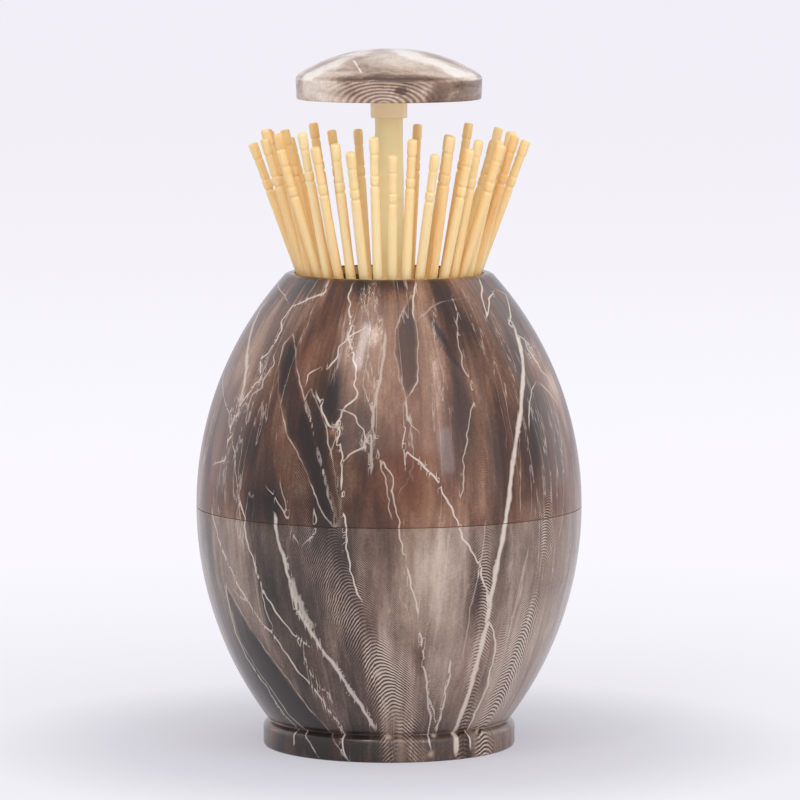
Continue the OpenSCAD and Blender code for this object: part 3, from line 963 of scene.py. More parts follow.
@dataclass(frozen=True)
class MarblePrintAndPaintedShade:
    """The printed pattern on the egg and the painted shade at its sides, worked out as one number of each kind
    for every point.

    A line's azimuth is a function of height. The distance to a line is the azimuth difference times
    the radius, times the cosine of the line's slope. The pattern is repeated once on the back.
    """

    egg: Egg
    view: View
    seed: int = 7
    line_step: float = 0.25
    vein_reach: float = 0.75
    fold_rise: float = 1.45
    fold_round: float = 2.2
    fold_blend: float = 1.6
    pitch_low: float = 0.86
    pitch_seam: float = 0.56
    pixels_a_mm: float = 5.1

    def heights(self) -> np.ndarray:
        """Returns the heights at which every line is sampled."""
        return np.arange(0, self.egg.rim_z + self.line_step, self.line_step)

    def line(
        self, pixels: Sequence[Pixel], jag: float, rng: np.random.Generator
    ) -> tuple[np.ndarray, float, float]:
        """Turns pixels into a line round the egg.

        Its jaggedness is a sum of triangle waves of falling length, each asin(sin(2 pi z / w + p)).

        Args:
            pixels: column and row of each point.
            jag: how far the line strays, in millimetres.
            rng: the random numbers.

        Returns:
            The azimuth at each sampled height, and the line's lowest and highest point.
        """
        marks = self.egg.marks(pixels, self.view)
        marks = marks[np.argsort(marks[:, 1])]
        z = self.heights()
        azimuth = np.interp(z, marks[:, 1], marks[:, 0])
        lengths = np.array([7.7, 4.1, 2.3])
        phase = rng.uniform(0, math.tau, len(lengths))
        waves = np.arcsin(np.sin(z[:, None] * math.tau / lengths + phase)) * (lengths / lengths[0]) ** 0.6
        azimuth = azimuth + waves.sum(axis=1) * jag * 0.3 / self.egg.radius_at(z)
        return azimuth, marks[0, 1], marks[-1, 1]

    def sideways(self, azimuth: np.ndarray, z: np.ndarray, line: np.ndarray) -> np.ndarray:
        """Distance in millimetres from each point to a line, positive to its right."""
        heights = self.heights()
        radius = self.egg.radius_at(heights)
        slope = np.gradient(line, heights) * radius
        turn = np.angle(np.exp(1j * (azimuth - np.interp(z, heights, line))))
        return turn * self.egg.radius_at(z) / np.hypot(1, np.interp(z, heights, slope))

    def veins(self, azimuth: np.ndarray, z: np.ndarray) -> tuple[np.ndarray, np.ndarray, np.ndarray]:
        """Works out the vein nearest to each point.

        The distance changes its sign at every line that is crossed, so that it runs through zero
        along each line and stays smooth between the lines. The lines are counted once round from
        the left side, which none of them reaches.

        Args:
            azimuth: azimuth of each point.
            z: height of each point.

        Returns:
            Signed distance, width and strength of the nearest vein.
        """
        rng = np.random.default_rng(self.seed)
        best, nearest = np.full(len(z), 1e3), np.full(len(z), 1e3)
        width, strength, crossed = np.full(len(z), 0.3), np.zeros(len(z)), np.zeros(len(z), int)
        quarter = math.pi / 2
        once_round = (azimuth + quarter) % math.tau - quarter
        heights = self.heights()
        for turn in (0, math.pi):
            for vein in VEINS:
                line, low, high = self.line(vein.pixels, vein.jag, rng)
                gap = self.sideways(azimuth, z, line + turn)
                fade = np.clip(np.minimum(z - low, high - z) / 1.5 + 0.3, 0, 1)
                swell = 1 + 0.2 * np.sin(z * 0.9 + rng.uniform(0, math.tau))
                beyond = np.maximum(np.maximum(low - z, z - high), 0)
                nearer = np.abs(gap) + 4 * beyond < nearest
                nearest = np.where(nearer, np.abs(gap) + 4 * beyond, nearest)
                best = np.where(nearer, gap, best)
                width = np.where(nearer, vein.width * swell * (0.4 + 0.6 * fade), width)
                strength = np.where(nearer, vein.strength * fade, strength)
                crossed += once_round > np.interp(z, heights, line + turn)
        strength *= np.clip((self.vein_reach - np.abs(best)) / 0.15, 0, 1)
        return np.abs(best) * np.where(crossed % 2, 1, -1), width, strength

    def patches(self, azimuth: np.ndarray, z: np.ndarray, table: Sequence[Patch]) -> np.ndarray:
        """Adds up soft patches, each exp(-(x / a)^2 - (y / b)^2) in its own leaning axes.

        Args:
            azimuth: azimuth of each point.
            z: height of each point.
            table: the patches.

        Returns:
            The sum at each point.
        """
        marks = self.egg.marks([patch.middle for patch in table], self.view)
        radius = self.egg.radius_at(z)
        total = np.zeros(len(z))
        for patch, (middle, height) in zip(table, marks):
            squeeze = max(math.cos(middle), 0.35)
            half_x = patch.half[0] / self.pixels_a_mm / squeeze
            half_y = patch.half[1] / self.pixels_a_mm
            lean = math.radians(patch.lean)
            for turn in (0, math.pi):
                x = np.angle(np.exp(1j * (azimuth - middle - turn))) * radius
                y = z - height
                across = x * math.cos(lean) - y * math.sin(lean)
                along = x * math.sin(lean) + y * math.cos(lean)
                total += patch.amount * np.exp(-((across / half_x) ** 2) - (along / half_y) ** 2)
        return total

    def almonds(self, azimuth: np.ndarray, z: np.ndarray) -> tuple[np.ndarray, np.ndarray]:
        """Works out how far each point lies inside an almond.

        Args:
            azimuth: azimuth of each point.
            z: height of each point.

        Returns:
            Distance inside the nearest edge, negative outside, and the almond's darkness.
        """
        rng = np.random.default_rng(self.seed + 1)
        inside, dark = np.full(len(z), -50.0), np.zeros(len(z))
        for turn in (0, math.pi):
            for almond in ALMONDS:
                left, low, high = self.line(almond.left, 0.25, rng)
                right, low_right, high_right = self.line(almond.right, 0.25, rng)
                gap = np.minimum(
                    self.sideways(azimuth, z, left + turn), -self.sideways(azimuth, z, right + turn)
                )
                gap = np.minimum(gap, np.minimum(z - min(low, low_right), max(high, high_right) - z))
                dark = np.where(gap > inside, almond.dark, dark)
                inside = np.maximum(inside, gap)
        return inside, dark

    def folds(self, azimuth: np.ndarray, z: np.ndarray) -> tuple[np.ndarray, np.ndarray]:
        """Works out the contour lines, which arch over each fold line.

        The level is z plus rise times a soft least of sqrt(d^2 + round^2) over the fold lines, d
        being the distance to each. The pitch grows evenly downwards, so the count of lines is the
        logarithm of the pitch over its slope.

        Args:
            azimuth: azimuth of each point.
            z: height of each point.

        Returns:
            The count of lines up to each point, and how strong they are there.
        """
        rng = np.random.default_rng(self.seed + 2)
        closeness, strength = np.zeros(len(z)), np.zeros(len(z))
        for turn in (0, math.pi):
            for number, pixels in enumerate(FOLDS):
                line, low, high = self.line(pixels, 0.1, rng)
                gap = self.sideways(azimuth, z, line + turn)
                closeness += np.exp(-np.hypot(gap, self.fold_round) / self.fold_blend)
                reach = (6.5, 5.5, 2.6)[number] * (self.egg.radius_at(z) / self.egg.body_r) ** 1.6
                ends = np.clip((high - z) / 12 + 0.1, 0, 1)
                strength = np.maximum(strength, np.exp(-((gap / reach) ** 4)) * ends)
        level = z + self.fold_rise * -self.fold_blend * np.log(closeness + 1e-12)
        slope = (self.pitch_seam - self.pitch_low) / self.egg.seam_z
        pitch = np.maximum(self.pitch_low + slope * level, 0.3)
        return np.log(pitch / self.pitch_low) / slope, strength

    def paint(self, piece: bpy.types.Object, points: np.ndarray) -> None:
        """Stores the whole pattern on a piece.

        Args:
            piece: the piece.
            points: its points, in millimetres.
        """
        azimuth, z = np.arctan2(points[:, 0], -points[:, 1]), points[:, 2]
        vein, width, strength = self.veins(azimuth, z)
        inside, dark = self.almonds(azimuth, z)
        count, fold = self.folds(azimuth, z)
        give_attribute(piece, "vein", vein)
        give_attribute(piece, "vein_width", width)
        give_attribute(piece, "vein_strength", strength)
        give_attribute(piece, "almond", inside)
        give_attribute(piece, "almond_dark", dark)
        give_attribute(piece, "contour", count)
        give_attribute(piece, "contour_strength", fold)
        # The shade attribute adds up the patches, painted shade at the sides among them, and darkens the
        # pattern below 8 mm over the foot band.
        low = np.clip((8 - z) / 4, 0, 1)
        give_attribute(piece, "shade", self.patches(azimuth, z, TONE_PATCHES_AND_PAINTED_SHADE) - 0.2 * low)
        give_attribute(piece, "reddish", self.patches(azimuth, z, REDDISH))
        give_attribute(piece, "lace", self.patches(azimuth, z, LACES))


# Finishes


@dataclass(frozen=True)
class Marble:
    """Glossy printed marble on moulded plastic, in one range of colours, with painted shade where the pattern
    holds it.
    """

    name: str
    stops: tuple[tuple[float, Colour], ...]
    vein: Colour = (216, 200, 186)
    red: Colour = (112, 58, 26)

    def material(self) -> bpy.types.Material:
        """Builds the material and returns it."""
        g = Graph(self.name)
        around, streaky = g.round_place(9), g.round_place(3.2)
        broad = g.noise(around, 1.9, 3, 0.5, 0.8)
        hair = g.noise(streaky, 34, 3, 0.6, 0.2)
        mottle = (
            (g.noise(streaky, 9, 5, 0.6, 0.5), 0.5),
            (hair, 0.3),
            (g.noise(g.place(), 1900, 2, 0.7), 0.26),
            (g.noise(around, 7, 5, 0.6, 0.6), 0.6),
        )
        tone = g.between(broad, 0.3, 0.7, 0.3, 0.7)
        tone = g.plus(tone, *(g.centred(part, weight) for part, weight in mottle))
        # The shade attribute holds the print patches and the painted shade at the egg's sides.
        tone = g.plus(tone, g.times(g.attribute("shade"), 0.8))
        inside = g.attribute("almond")
        tone = g.less(tone, g.times(g.between(inside, -0.1, 1.1), g.attribute("almond_dark")))
        tone = g.plus(tone, self.contours(g, around, hair))
        warm = g.between(g.noise(streaky, 3.1, 3, 0.5, 0.4), 0.5, 0.72)
        colour = g.mixed(g.times(warm, 0.22), g.ramp(tone, self.stops), linear(self.red))
        reddish = g.math("MULTIPLY", g.attribute("reddish"), 0.75, clamp=True)
        colour = g.mixed(reddish, colour, linear(self.red))
        thread = g.between(g.size(g.centred(g.noise(streaky, 5.5, 5, 0.58, 0.6))), 0.0, 0.01, 1, 0)
        pale = g.times(thread, g.between(broad, 0.45, 0.62), 0.45)
        pale = g.most(pale, self.cracks(g, around), self.outlines(g, around, inside, hair))
        colour = g.mixed(pale, colour, linear(self.vein))
        g.set(Base_Color=colour, Roughness=0.3, Coat_Weight=0.6, Coat_Roughness=0.1, Specular_IOR_Level=0.2)
        g.bump(g.noise(g.place(), 240, 2, 0.5), 0.00002, 0.25)
        return g.material

    def contours(self, g: Graph, around: Socket, hair: Socket) -> Socket:
        """Draws the fine contour lines, worn away in places.

        Args:
            g: the node graph.
            around: the place round the axis.
            hair: the fine streaks, which make the lines waver.

        Returns:
            What the lines add to the tone.
        """
        turns = g.times(g.plus(g.attribute("contour"), g.centred(hair, 1.1)), math.tau)
        lines = g.between(g.math("SINE", turns), -0.6, 0.5, -0.5, 0.5)
        worn = g.between(g.noise(around, 5, 3, 0.6), 0.35, 0.6)
        return g.times(lines, worn, g.plus(g.times(g.attribute("contour_strength"), 0.8), 0.09))

    def cracks(self, g: Graph, around: Socket) -> Socket:
        """Draws the veins and the lacy patches and returns how pale they are."""
        off = g.math("DIVIDE", g.size(g.attribute("vein")), g.attribute("vein_width"))
        broken = g.between(g.noise(around, 16, 4, 0.6), 0.3, 0.5, 0.8, 1)
        core = g.times(g.between(off, 0.2, 0.7, 1, 0), g.attribute("vein_strength"), broken)
        lace = g.between(g.size(g.centred(g.noise(around, 24, 5, 0.62, 1.2))), 0.0, 0.03, 1, 0)
        return g.most(core, g.times(lace, g.between(g.attribute("lace"), 0.25, 0.6), 0.85))

    def outlines(self, g: Graph, around: Socket, inside: Socket, hair: Socket) -> Socket:
        """Draws the worn pale edge of the almonds.

        Args:
            g: the node graph.
            around: the place round the axis.
            inside: the distance inside an almond.
            hair: the fine streaks, which make the edge waver.

        Returns:
            How pale the edge is.
        """
        edge = g.between(g.size(g.plus(inside, g.centred(hair, 0.5))), 0.06, 0.2, 1, 0)
        return g.times(edge, g.between(g.noise(around, 11, 3, 0.6), 0.38, 0.6, 0.1, 0.6))


@dataclass(frozen=True)
class LidMarble:
    """The lid's own print: broad pale sweeps round the dome and fine arcs on the skirt, with painted shade
    along the crease.
    """

    name: str = "marble_lid"
    stops: tuple[tuple[float, Colour], ...] = (
        (0.14, (88, 64, 52)), (0.36, (142, 114, 96)), (0.52, (190, 165, 146)),
        (0.68, (222, 203, 186)), (0.86, (250, 239, 228)),
    )
    crease_z: float = 131.5
    arch: tuple[float, float] = (-0.8, 127.4)
    arch_pitch: float = 0.6
    spot: tuple[float, float] = (2.5, 129.9)
    sweeps: tuple[Stroke, ...] = ((-16.9, 130.9, -8.0, 135.2), (5.5, 135.4, 16.5, 130.9))
    crack: Stroke = (-6.9, 134.6, -5.2, 131.6)

    def along(self, g: Graph, x: Socket, v: Socket, line: Stroke) -> Socket:
        """Returns the distance from a straight line, in millimetres, in the front view.

        Args:
            g: the node graph.
            x: place across the front view.
            v: height in the front view.
            line: two points of the line, one after the other.

        Returns:
            The distance socket.
        """
        step = Vector((line[2] - line[0], line[3] - line[1])).normalized()
        return g.size(g.plus(g.times(g.less(x, line[0]), -step.y), g.times(g.less(v, line[1]), step.x)))

    def skirt_marks(self, g: Graph, x: Socket, z: Socket, broad: Socket, wobble: Socket) -> Socket:
        """Draws the skirt's flat arches, its pale left part and its dark spot.

        An arch is where sqrt((0.42 (x - x0))^2 + (z - z0)^2) is a whole number of pitches.

        Args:
            g: the node graph.
            x: place across the lid, in millimetres.
            z: height, in millimetres.
            broad: the broad mottle.
            wobble: what makes edges uneven.

        Returns:
            What the marks add to the tone.
        """
        side = g.times(g.less(x, self.arch[0]), 0.42)
        up = g.less(z, self.arch[1])
        level = g.plus(g.math("SQRT", g.plus(g.times(side, side), g.times(up, up))), g.times(broad, 0.8))
        wave = g.math("SINE", g.times(level, math.tau / self.arch_pitch))
        arcs = g.times(g.between(wave, -0.7, 0.7, -0.12, 0.12), g.between(g.size(side), 5.0, 2.0))
        left = g.between(x, -7.0, -11.0, 0, 0.22)
        to_spot = g.plus(
            g.times(g.math("POWER", g.less(x, self.spot[0]), 2.0), 0.5),
            g.math("POWER", g.less(z, self.spot[1]), 2.0),
        )
        spot = g.between(g.plus(to_spot, wobble), 0.2, 1.2, 0.35, 0)
        return g.less(g.plus(arcs, left), g.plus(spot, 0.24))

    def material(self) -> bpy.types.Material:
        """Builds the material and returns it."""
        g = Graph(self.name)
        place = g.place()
        split = g.node("ShaderNodeSeparateXYZ")
        g.feed(split.inputs[0], place)
        x, y, z = (g.math("DIVIDE", axis, MM) for axis in split.outputs)
        front = g.plus(z, g.times(y, 0.1))
        flat = g.node("ShaderNodeMapping")
        flat.inputs["Rotation"].default_value = (0, 0, 0.25)
        flat.inputs["Scale"].default_value = (40, 90, 170)
        g.feed(flat.inputs["Vector"], place)
        broad = g.noise(place, 90, 3, 0.6)
        wobble = g.centred(g.noise(place, 260, 3, 0.6), 2.4)
        tone = g.between(g.noise(flat.outputs[0], 1.0, 4, 0.55, 1.0), 0.3, 0.72, 0.3, 0.74)
        tone = g.plus(tone, g.centred(g.noise(place, 1500, 2, 0.7), 0.26), g.centred(broad, 0.4))
        dome = g.between(z, self.crease_z - 0.2, self.crease_z + 0.3)
        for line in self.sweeps:
            off = g.plus(self.along(g, x, front, line), wobble)
            tone = g.plus(tone, g.times(dome, g.between(off, 0.0, 1.5, 0.36, 0)))
        under = g.between(g.size(g.less(front, self.crease_z - 1.0)), 0.2, 1.3, 0.3, 0)
        tone = g.less(tone, g.times(dome, under, g.between(g.size(x), 13.0, 6.0)))
        skirt = g.between(z, self.crease_z + 0.3, self.crease_z - 0.2)
        tone = g.plus(tone, g.times(skirt, self.skirt_marks(g, x, z, broad, wobble)))
        # Painted shade: a thin dark band all round, just above the crease.
        tone = g.less(tone, g.between(g.size(g.less(z, self.crease_z + 0.5)), 0.0, 0.6, 0.2, 0))
        off = g.size(g.less(self.along(g, x, front, self.crack), g.times(wobble, 0.3)))
        middle = (self.crack[1] + self.crack[3]) / 2
        reach = g.between(g.size(g.less(front, middle)), 1.5, 1.2)
        crack = g.times(g.between(off, 0.06, 0.2, 0.9, 0), reach, g.between(y, 0.0, -2.0))
        colour = g.mixed(crack, g.ramp(tone, self.stops), linear((240, 230, 218)))
        g.set(Base_Color=colour, Roughness=0.3, Coat_Weight=0.6, Coat_Roughness=0.1, Specular_IOR_Level=0.2)
        g.bump(g.noise(g.place(), 240, 2, 0.5), 0.00002, 0.25)
        return g.material


@dataclass(frozen=True)
class Plastic:
    """Moulded plastic with a faint mottle and a fine grain."""

    name: str
    colour: Colour
    shade: Colour
    rough: float = 0.38
    glow: float = 0.0

    def material(self) -> bpy.types.Material:
        """Builds the material and returns it."""
        g = Graph(self.name)
        mottle = g.noise(g.place(), 180, 4, 0.55)
        g.set(
            Base_Color=g.ramp(mottle, ((0.25, self.shade), (0.75, self.colour))),
            Roughness=g.between(g.noise(g.place(), 900, 2), 0.2, 0.8, self.rough - 0.05, self.rough + 0.08),
            Subsurface_Weight=self.glow,
            Subsurface_Scale=0.002,
        )
        g.shader.inputs["Subsurface Radius"].default_value = (1.0, 0.5, 0.25)
        g.bump(g.noise(g.place(), 1400, 2, 0.6), 0.00002, 0.4)
        return g.material


@dataclass(frozen=True)
class Steel:
    """Bright or zinc-plated steel with fine drawing lines."""

    name: str
    colour: Colour = (198, 200, 204)
    rough: float = 0.3

    def material(self) -> bpy.types.Material:
        """Builds the material and returns it."""
        g = Graph(self.name)
        lines = g.noise(g.round_place(60), 40, 4, 0.6)
        g.set(
            Base_Color=g.ramp(lines, ((0.2, tuple(int(c * 0.82) for c in self.colour)), (0.8, self.colour))),
            Metallic=1.0,
            Roughness=g.between(lines, 0.2, 0.8, self.rough - 0.08, self.rough + 0.12),
        )
        g.bump(lines, 0.00002, 0.3)
        return g.material


@dataclass(frozen=True)
class TurnedWood:
    """Pale turned birch or bamboo whose fibres run along the toothpick.

    The piece's UV map holds the turn round the toothpick and the length along it, with a different
    start for each toothpick, so that no two look alike.
    """

    name: str = "turned_wood"
    light: Colour = (255, 232, 178)
    middle: Colour = (253, 208, 140)
    dark: Colour = (214, 138, 66)

    def material(self) -> bpy.types.Material:
        """Builds the material and returns it."""
        g = Graph(self.name)
        sheet = g.node("ShaderNodeUVMap", uv_map="along").outputs[0]
        stretch = g.node("ShaderNodeMapping")
        stretch.inputs["Scale"].default_value = (7.0, 0.07, 1.0)
        g.feed(stretch.inputs["Vector"], sheet)
        fibre = g.noise(stretch.outputs[0], 2.4, 5, 0.65)
        cast = g.node("ShaderNodeMapping")
        cast.inputs["Scale"].default_value = (0.2, 0.012, 1.0)
        g.feed(cast.inputs["Vector"], sheet)
        each = g.noise(cast.outputs[0], 1.0, 1, 0.5)
        tone = g.math("ADD", g.math("MULTIPLY", fibre, 0.6), g.math("MULTIPLY", each, 0.5))
        colour = g.ramp(tone, ((0.34, self.dark), (0.5, self.middle), (0.66, self.light)))
        g.set(Base_Color=colour, Roughness=0.5, Subsurface_Weight=0.12, Subsurface_Scale=0.0016)
        g.shader.inputs["Subsurface Radius"].default_value = (1.0, 0.42, 0.12)
        g.bump(fibre, 0.00004, 0.5)
        return g.material


# Sub-assemblies


@dataclass
class Shells:
    """Lower and upper shell: the marble egg, its foot band, spigot ring and bayonet."""

    egg: Egg
    pattern: MarblePrintAndPaintedShade
    around: int = 440
    seam_gap: float = 0.09
    plate_r: float = 21.8
    plate_top: float = 3.0
    ledge_r: float = 19.5
    ledge_top: float = 5.0
    spigot_h: float = 6.0
    spigot_wall: float = 1.65
    spigot_gap: float = 0.25
    lug_h: float = 1.8
    lug_angle: float = 6.0
    unlock_angle: float = 20.0
    lug_gap: float = 0.3
    lug_count: int = 3
    slot_play: float = 1.0
    mouth_land: float = 1.8
    boss_r: float = 2.55
    boss_bore: float = 0.88
    screw_ring_r: float = 17.3
    screw_l: float = 6.0

    @property
    def spigot_r(self) -> float:
        """Outer radius of the ring that stands up into the upper shell."""
        return self.egg.body_r - self.egg.wall - self.spigot_gap

    @property
    def lug_z(self) -> float:
        """Height of the lugs' underside."""
        return self.egg.seam_z + self.spigot_h / 3

    def lower_skin(self) -> Surface:
        """Turns the lower shell's outline: foot band, groove, egg, seam and the inner wall."""
        egg = self.egg
        top = egg.seam_z - self.seam_gap / 2
        shoulder = self.spigot_r - self.spigot_wall
        shelf = egg.seam_z - egg.wall * 2
        foot = eased(
            (
                (self.plate_r + 0.03, self.plate_top, 0.05),
                (self.plate_r + 0.03, 0, 0.15),
                (egg.foot_r, 0, 0.6),
                (egg.foot_r, egg.foot_h + 0.05, 1.3),
                (egg.waist_r, egg.waist_z, 0.5),
                (egg.waist_r + 0.5, egg.waist_z + 1.2, 0.05),
            ),
            7,
            False,
        )
        start = egg.waist_z + egg.foot_round * 0.35
        outer = egg.arc(start, top - 0.15, False)
        foot = foot[foot[:, 1] < start - 0.1]
        lip = [[outer[-1, 0] - 0.02, top - 0.03], [outer[-1, 0] - 0.15, top], [self.spigot_r - 0.2, top]]
        inner = egg.arc(shelf - (egg.body_r - egg.wall - shoulder), self.ledge_top + 1, False, egg.wall, 1.6)
        hollow = [[self.spigot_r - 0.2, top - 0.6], [shoulder, top - 0.6], [shoulder, shelf]]
        base = [[self.ledge_r, self.ledge_top], [self.ledge_r, self.plate_top]]
        outline = np.vstack([foot, outer, lip, hollow, inner, base])
        return turned(filled_in(outline, 1.2), self.around)

    def spigot(self) -> Surface:
        """Builds the spigot ring with its L-shaped bayonet slots.

        A cell is open where it lies in a slot's level run, or above it in the entry.
        """
        egg = self.egg
        half = self.lug_angle / 2 + self.slot_play
        pitch = 360 / self.lug_count
        entry_end = self.unlock_angle + half
        edges = np.array([-half, self.unlock_angle - half, entry_end, entry_end + self.slot_play])
        cuts = (edges[:, None] + 90 + pitch * np.arange(self.lug_count)).ravel() % 360
        angles = np.unique(np.concatenate([np.arange(0, 360, 2.5), cuts]))
        middle = (angles + (np.roll(angles, -1) - angles) % 360 / 2 - 90 + pitch / 2) % pitch - pitch / 2
        run_low, run_high = self.lug_z - self.lug_gap, self.lug_z + self.lug_h + self.lug_gap
        heights = np.array([egg.seam_z - 1.2, run_low, self.lug_z, run_high, egg.seam_z + self.spigot_h])
        level = (heights[:-1] + heights[1:]) / 2
        run = (middle > -half) & (middle < entry_end + self.slot_play)
        entry = (middle > self.unlock_angle - half) & (middle < entry_end)
        in_run = run[:, None] & ((level > run_low) & (level < run_high))[None]
        in_entry = entry[:, None] & (level > self.lug_z)[None]
        turn = np.radians(angles) + math.pi / 2
        inner = self.spigot_r - self.spigot_wall
        return slotted_band(turn, heights, ~(in_run | in_entry), inner, self.spigot_r)

    def bosses(self) -> Surface:
        """Builds the three tubes that take the base screws."""
        low, high = self.ledge_top - 1, self.ledge_top - 1 + self.screw_l
        bore, r = self.boss_bore, self.boss_r
        outline = eased(((bore, low, 0.05), (r, low, 0.05), (r, high, 0.4), (bore, high, 0.2)), 4)
        one = turned(outline, 32)
        made = None
        for number in range(3):
            angle = math.radians(90 + 120 * number)
            place = np.array([self.screw_ring_r * math.cos(angle), self.screw_ring_r * math.sin(angle), 0])
            boss = one.placed(np.eye(3), place)
            made = boss if made is None else made.joined(boss)
        return made

    def upper_skin(self) -> Surface:
        """Turns the upper shell's outline: egg, rim, mouth and the inner wall with its socket."""
        egg = self.egg
        bottom = egg.seam_z + self.seam_gap / 2
        socket_r = egg.body_r - egg.wall
        socket_top = egg.seam_z + self.spigot_h + self.spigot_gap * 2
        land = egg.rim_z - self.mouth_land
        outer = egg.arc(bottom + 0.15, egg.rim_z - egg.lip_edge, True)
        low_lip = [[socket_r, bottom], [outer[0, 0] - 0.15, bottom], [outer[0, 0] - 0.02, bottom + 0.03]]
        rim = eased(
            (
                (outer[-1, 0], outer[-1, 1], 0),
                (egg.lip_r, egg.rim_z, 0.25),
                (egg.mouth_r, egg.rim_z, 0.3),
                (egg.mouth_r, land, 0.1),
            ),
            6,
            False,
        )[1:]
        inner = egg.arc(land - egg.wall / 2, socket_top, True, egg.wall, 1.6)
        outline = np.vstack([low_lip, outer, rim, inner, [[socket_r, socket_top]]])
        return turned(filled_in(outline, 1.2), self.around)

    def lugs(self) -> Surface:
        """Builds the three lugs that hang in the spigot's slots."""
        half = self.lug_angle / 2
        pitch = 360 / self.lug_count
        across = np.linspace(-half, half, 4)[:, None]
        angles = np.sort((across + 90 + pitch * np.arange(self.lug_count)).ravel() % 360)
        middle = (angles + (np.roll(angles, -1) - angles) % 360 / 2 - 90 + pitch / 2) % pitch - pitch / 2
        solid = (np.abs(middle) < half)[:, None]
        heights = np.array([self.lug_z, self.lug_z + self.lug_h])
        inner = self.spigot_r - self.spigot_wall + self.lug_gap
        outer = self.egg.body_r - self.egg.wall + 1
        return slotted_band(np.radians(angles) + math.pi / 2, heights, solid, inner, outer)

    def build(self) -> None:
        """Makes both shells, stores their printed pattern with its painted shade, and puts them on their
        bodies.
        """
        grey = Marble(
            "marble_grey",
            (
                (0.12, (44, 35, 31)), (0.34, (84, 67, 58)), (0.52, (124, 102, 89)),
                (0.72, (162, 140, 125)), (0.95, (202, 182, 166)),
            ),
            red=(124, 74, 44),
        ).material()
        warm = Marble(
            "marble_warm",
            (
                (0.12, (34, 20, 14)), (0.34, (66, 40, 28)), (0.54, (106, 70, 50)),
                (0.76, (152, 114, 90)), (1.0, (204, 174, 150)),
            ),
        ).material()
        lining = Plastic("lining_tan", (226, 190, 148), (214, 176, 134), 0.45).material()
        lower = self.lower_skin().joined(self.spigot()).joined(self.bosses())
        upper = self.upper_skin().joined(self.lugs())
        for name, surface, material, body in (
            ("lower_shell_skin", lower, grey, Body.LOWER),
            ("upper_shell_skin", upper, warm, Body.UPPER),
        ):
            node = name.removesuffix("_skin")
            piece = add_piece(name, surface, [material, lining])
            self.line_inside(piece, surface)
            self.pattern.paint(piece, surface.points)
            finish_piece(piece, body, [node])

    def line_inside(self, piece: bpy.types.Object, surface: Surface) -> None:
        """Gives the faces that lie inside the shell the plain colour of the moulding."""
        centre = surface.points[surface.quads].mean(axis=1)
        depth = self.egg.radius_at(centre[:, 2]) - np.hypot(centre[:, 0], centre[:, 1])
        open_part = (centre[:, 2] < self.egg.rim_z - 0.3) & (centre[:, 2] > self.egg.waist_z + 2)
        inside = (depth > 0.5) & open_part
        piece.data.polygons.foreach_set("material_index", inside.astype(np.int32))


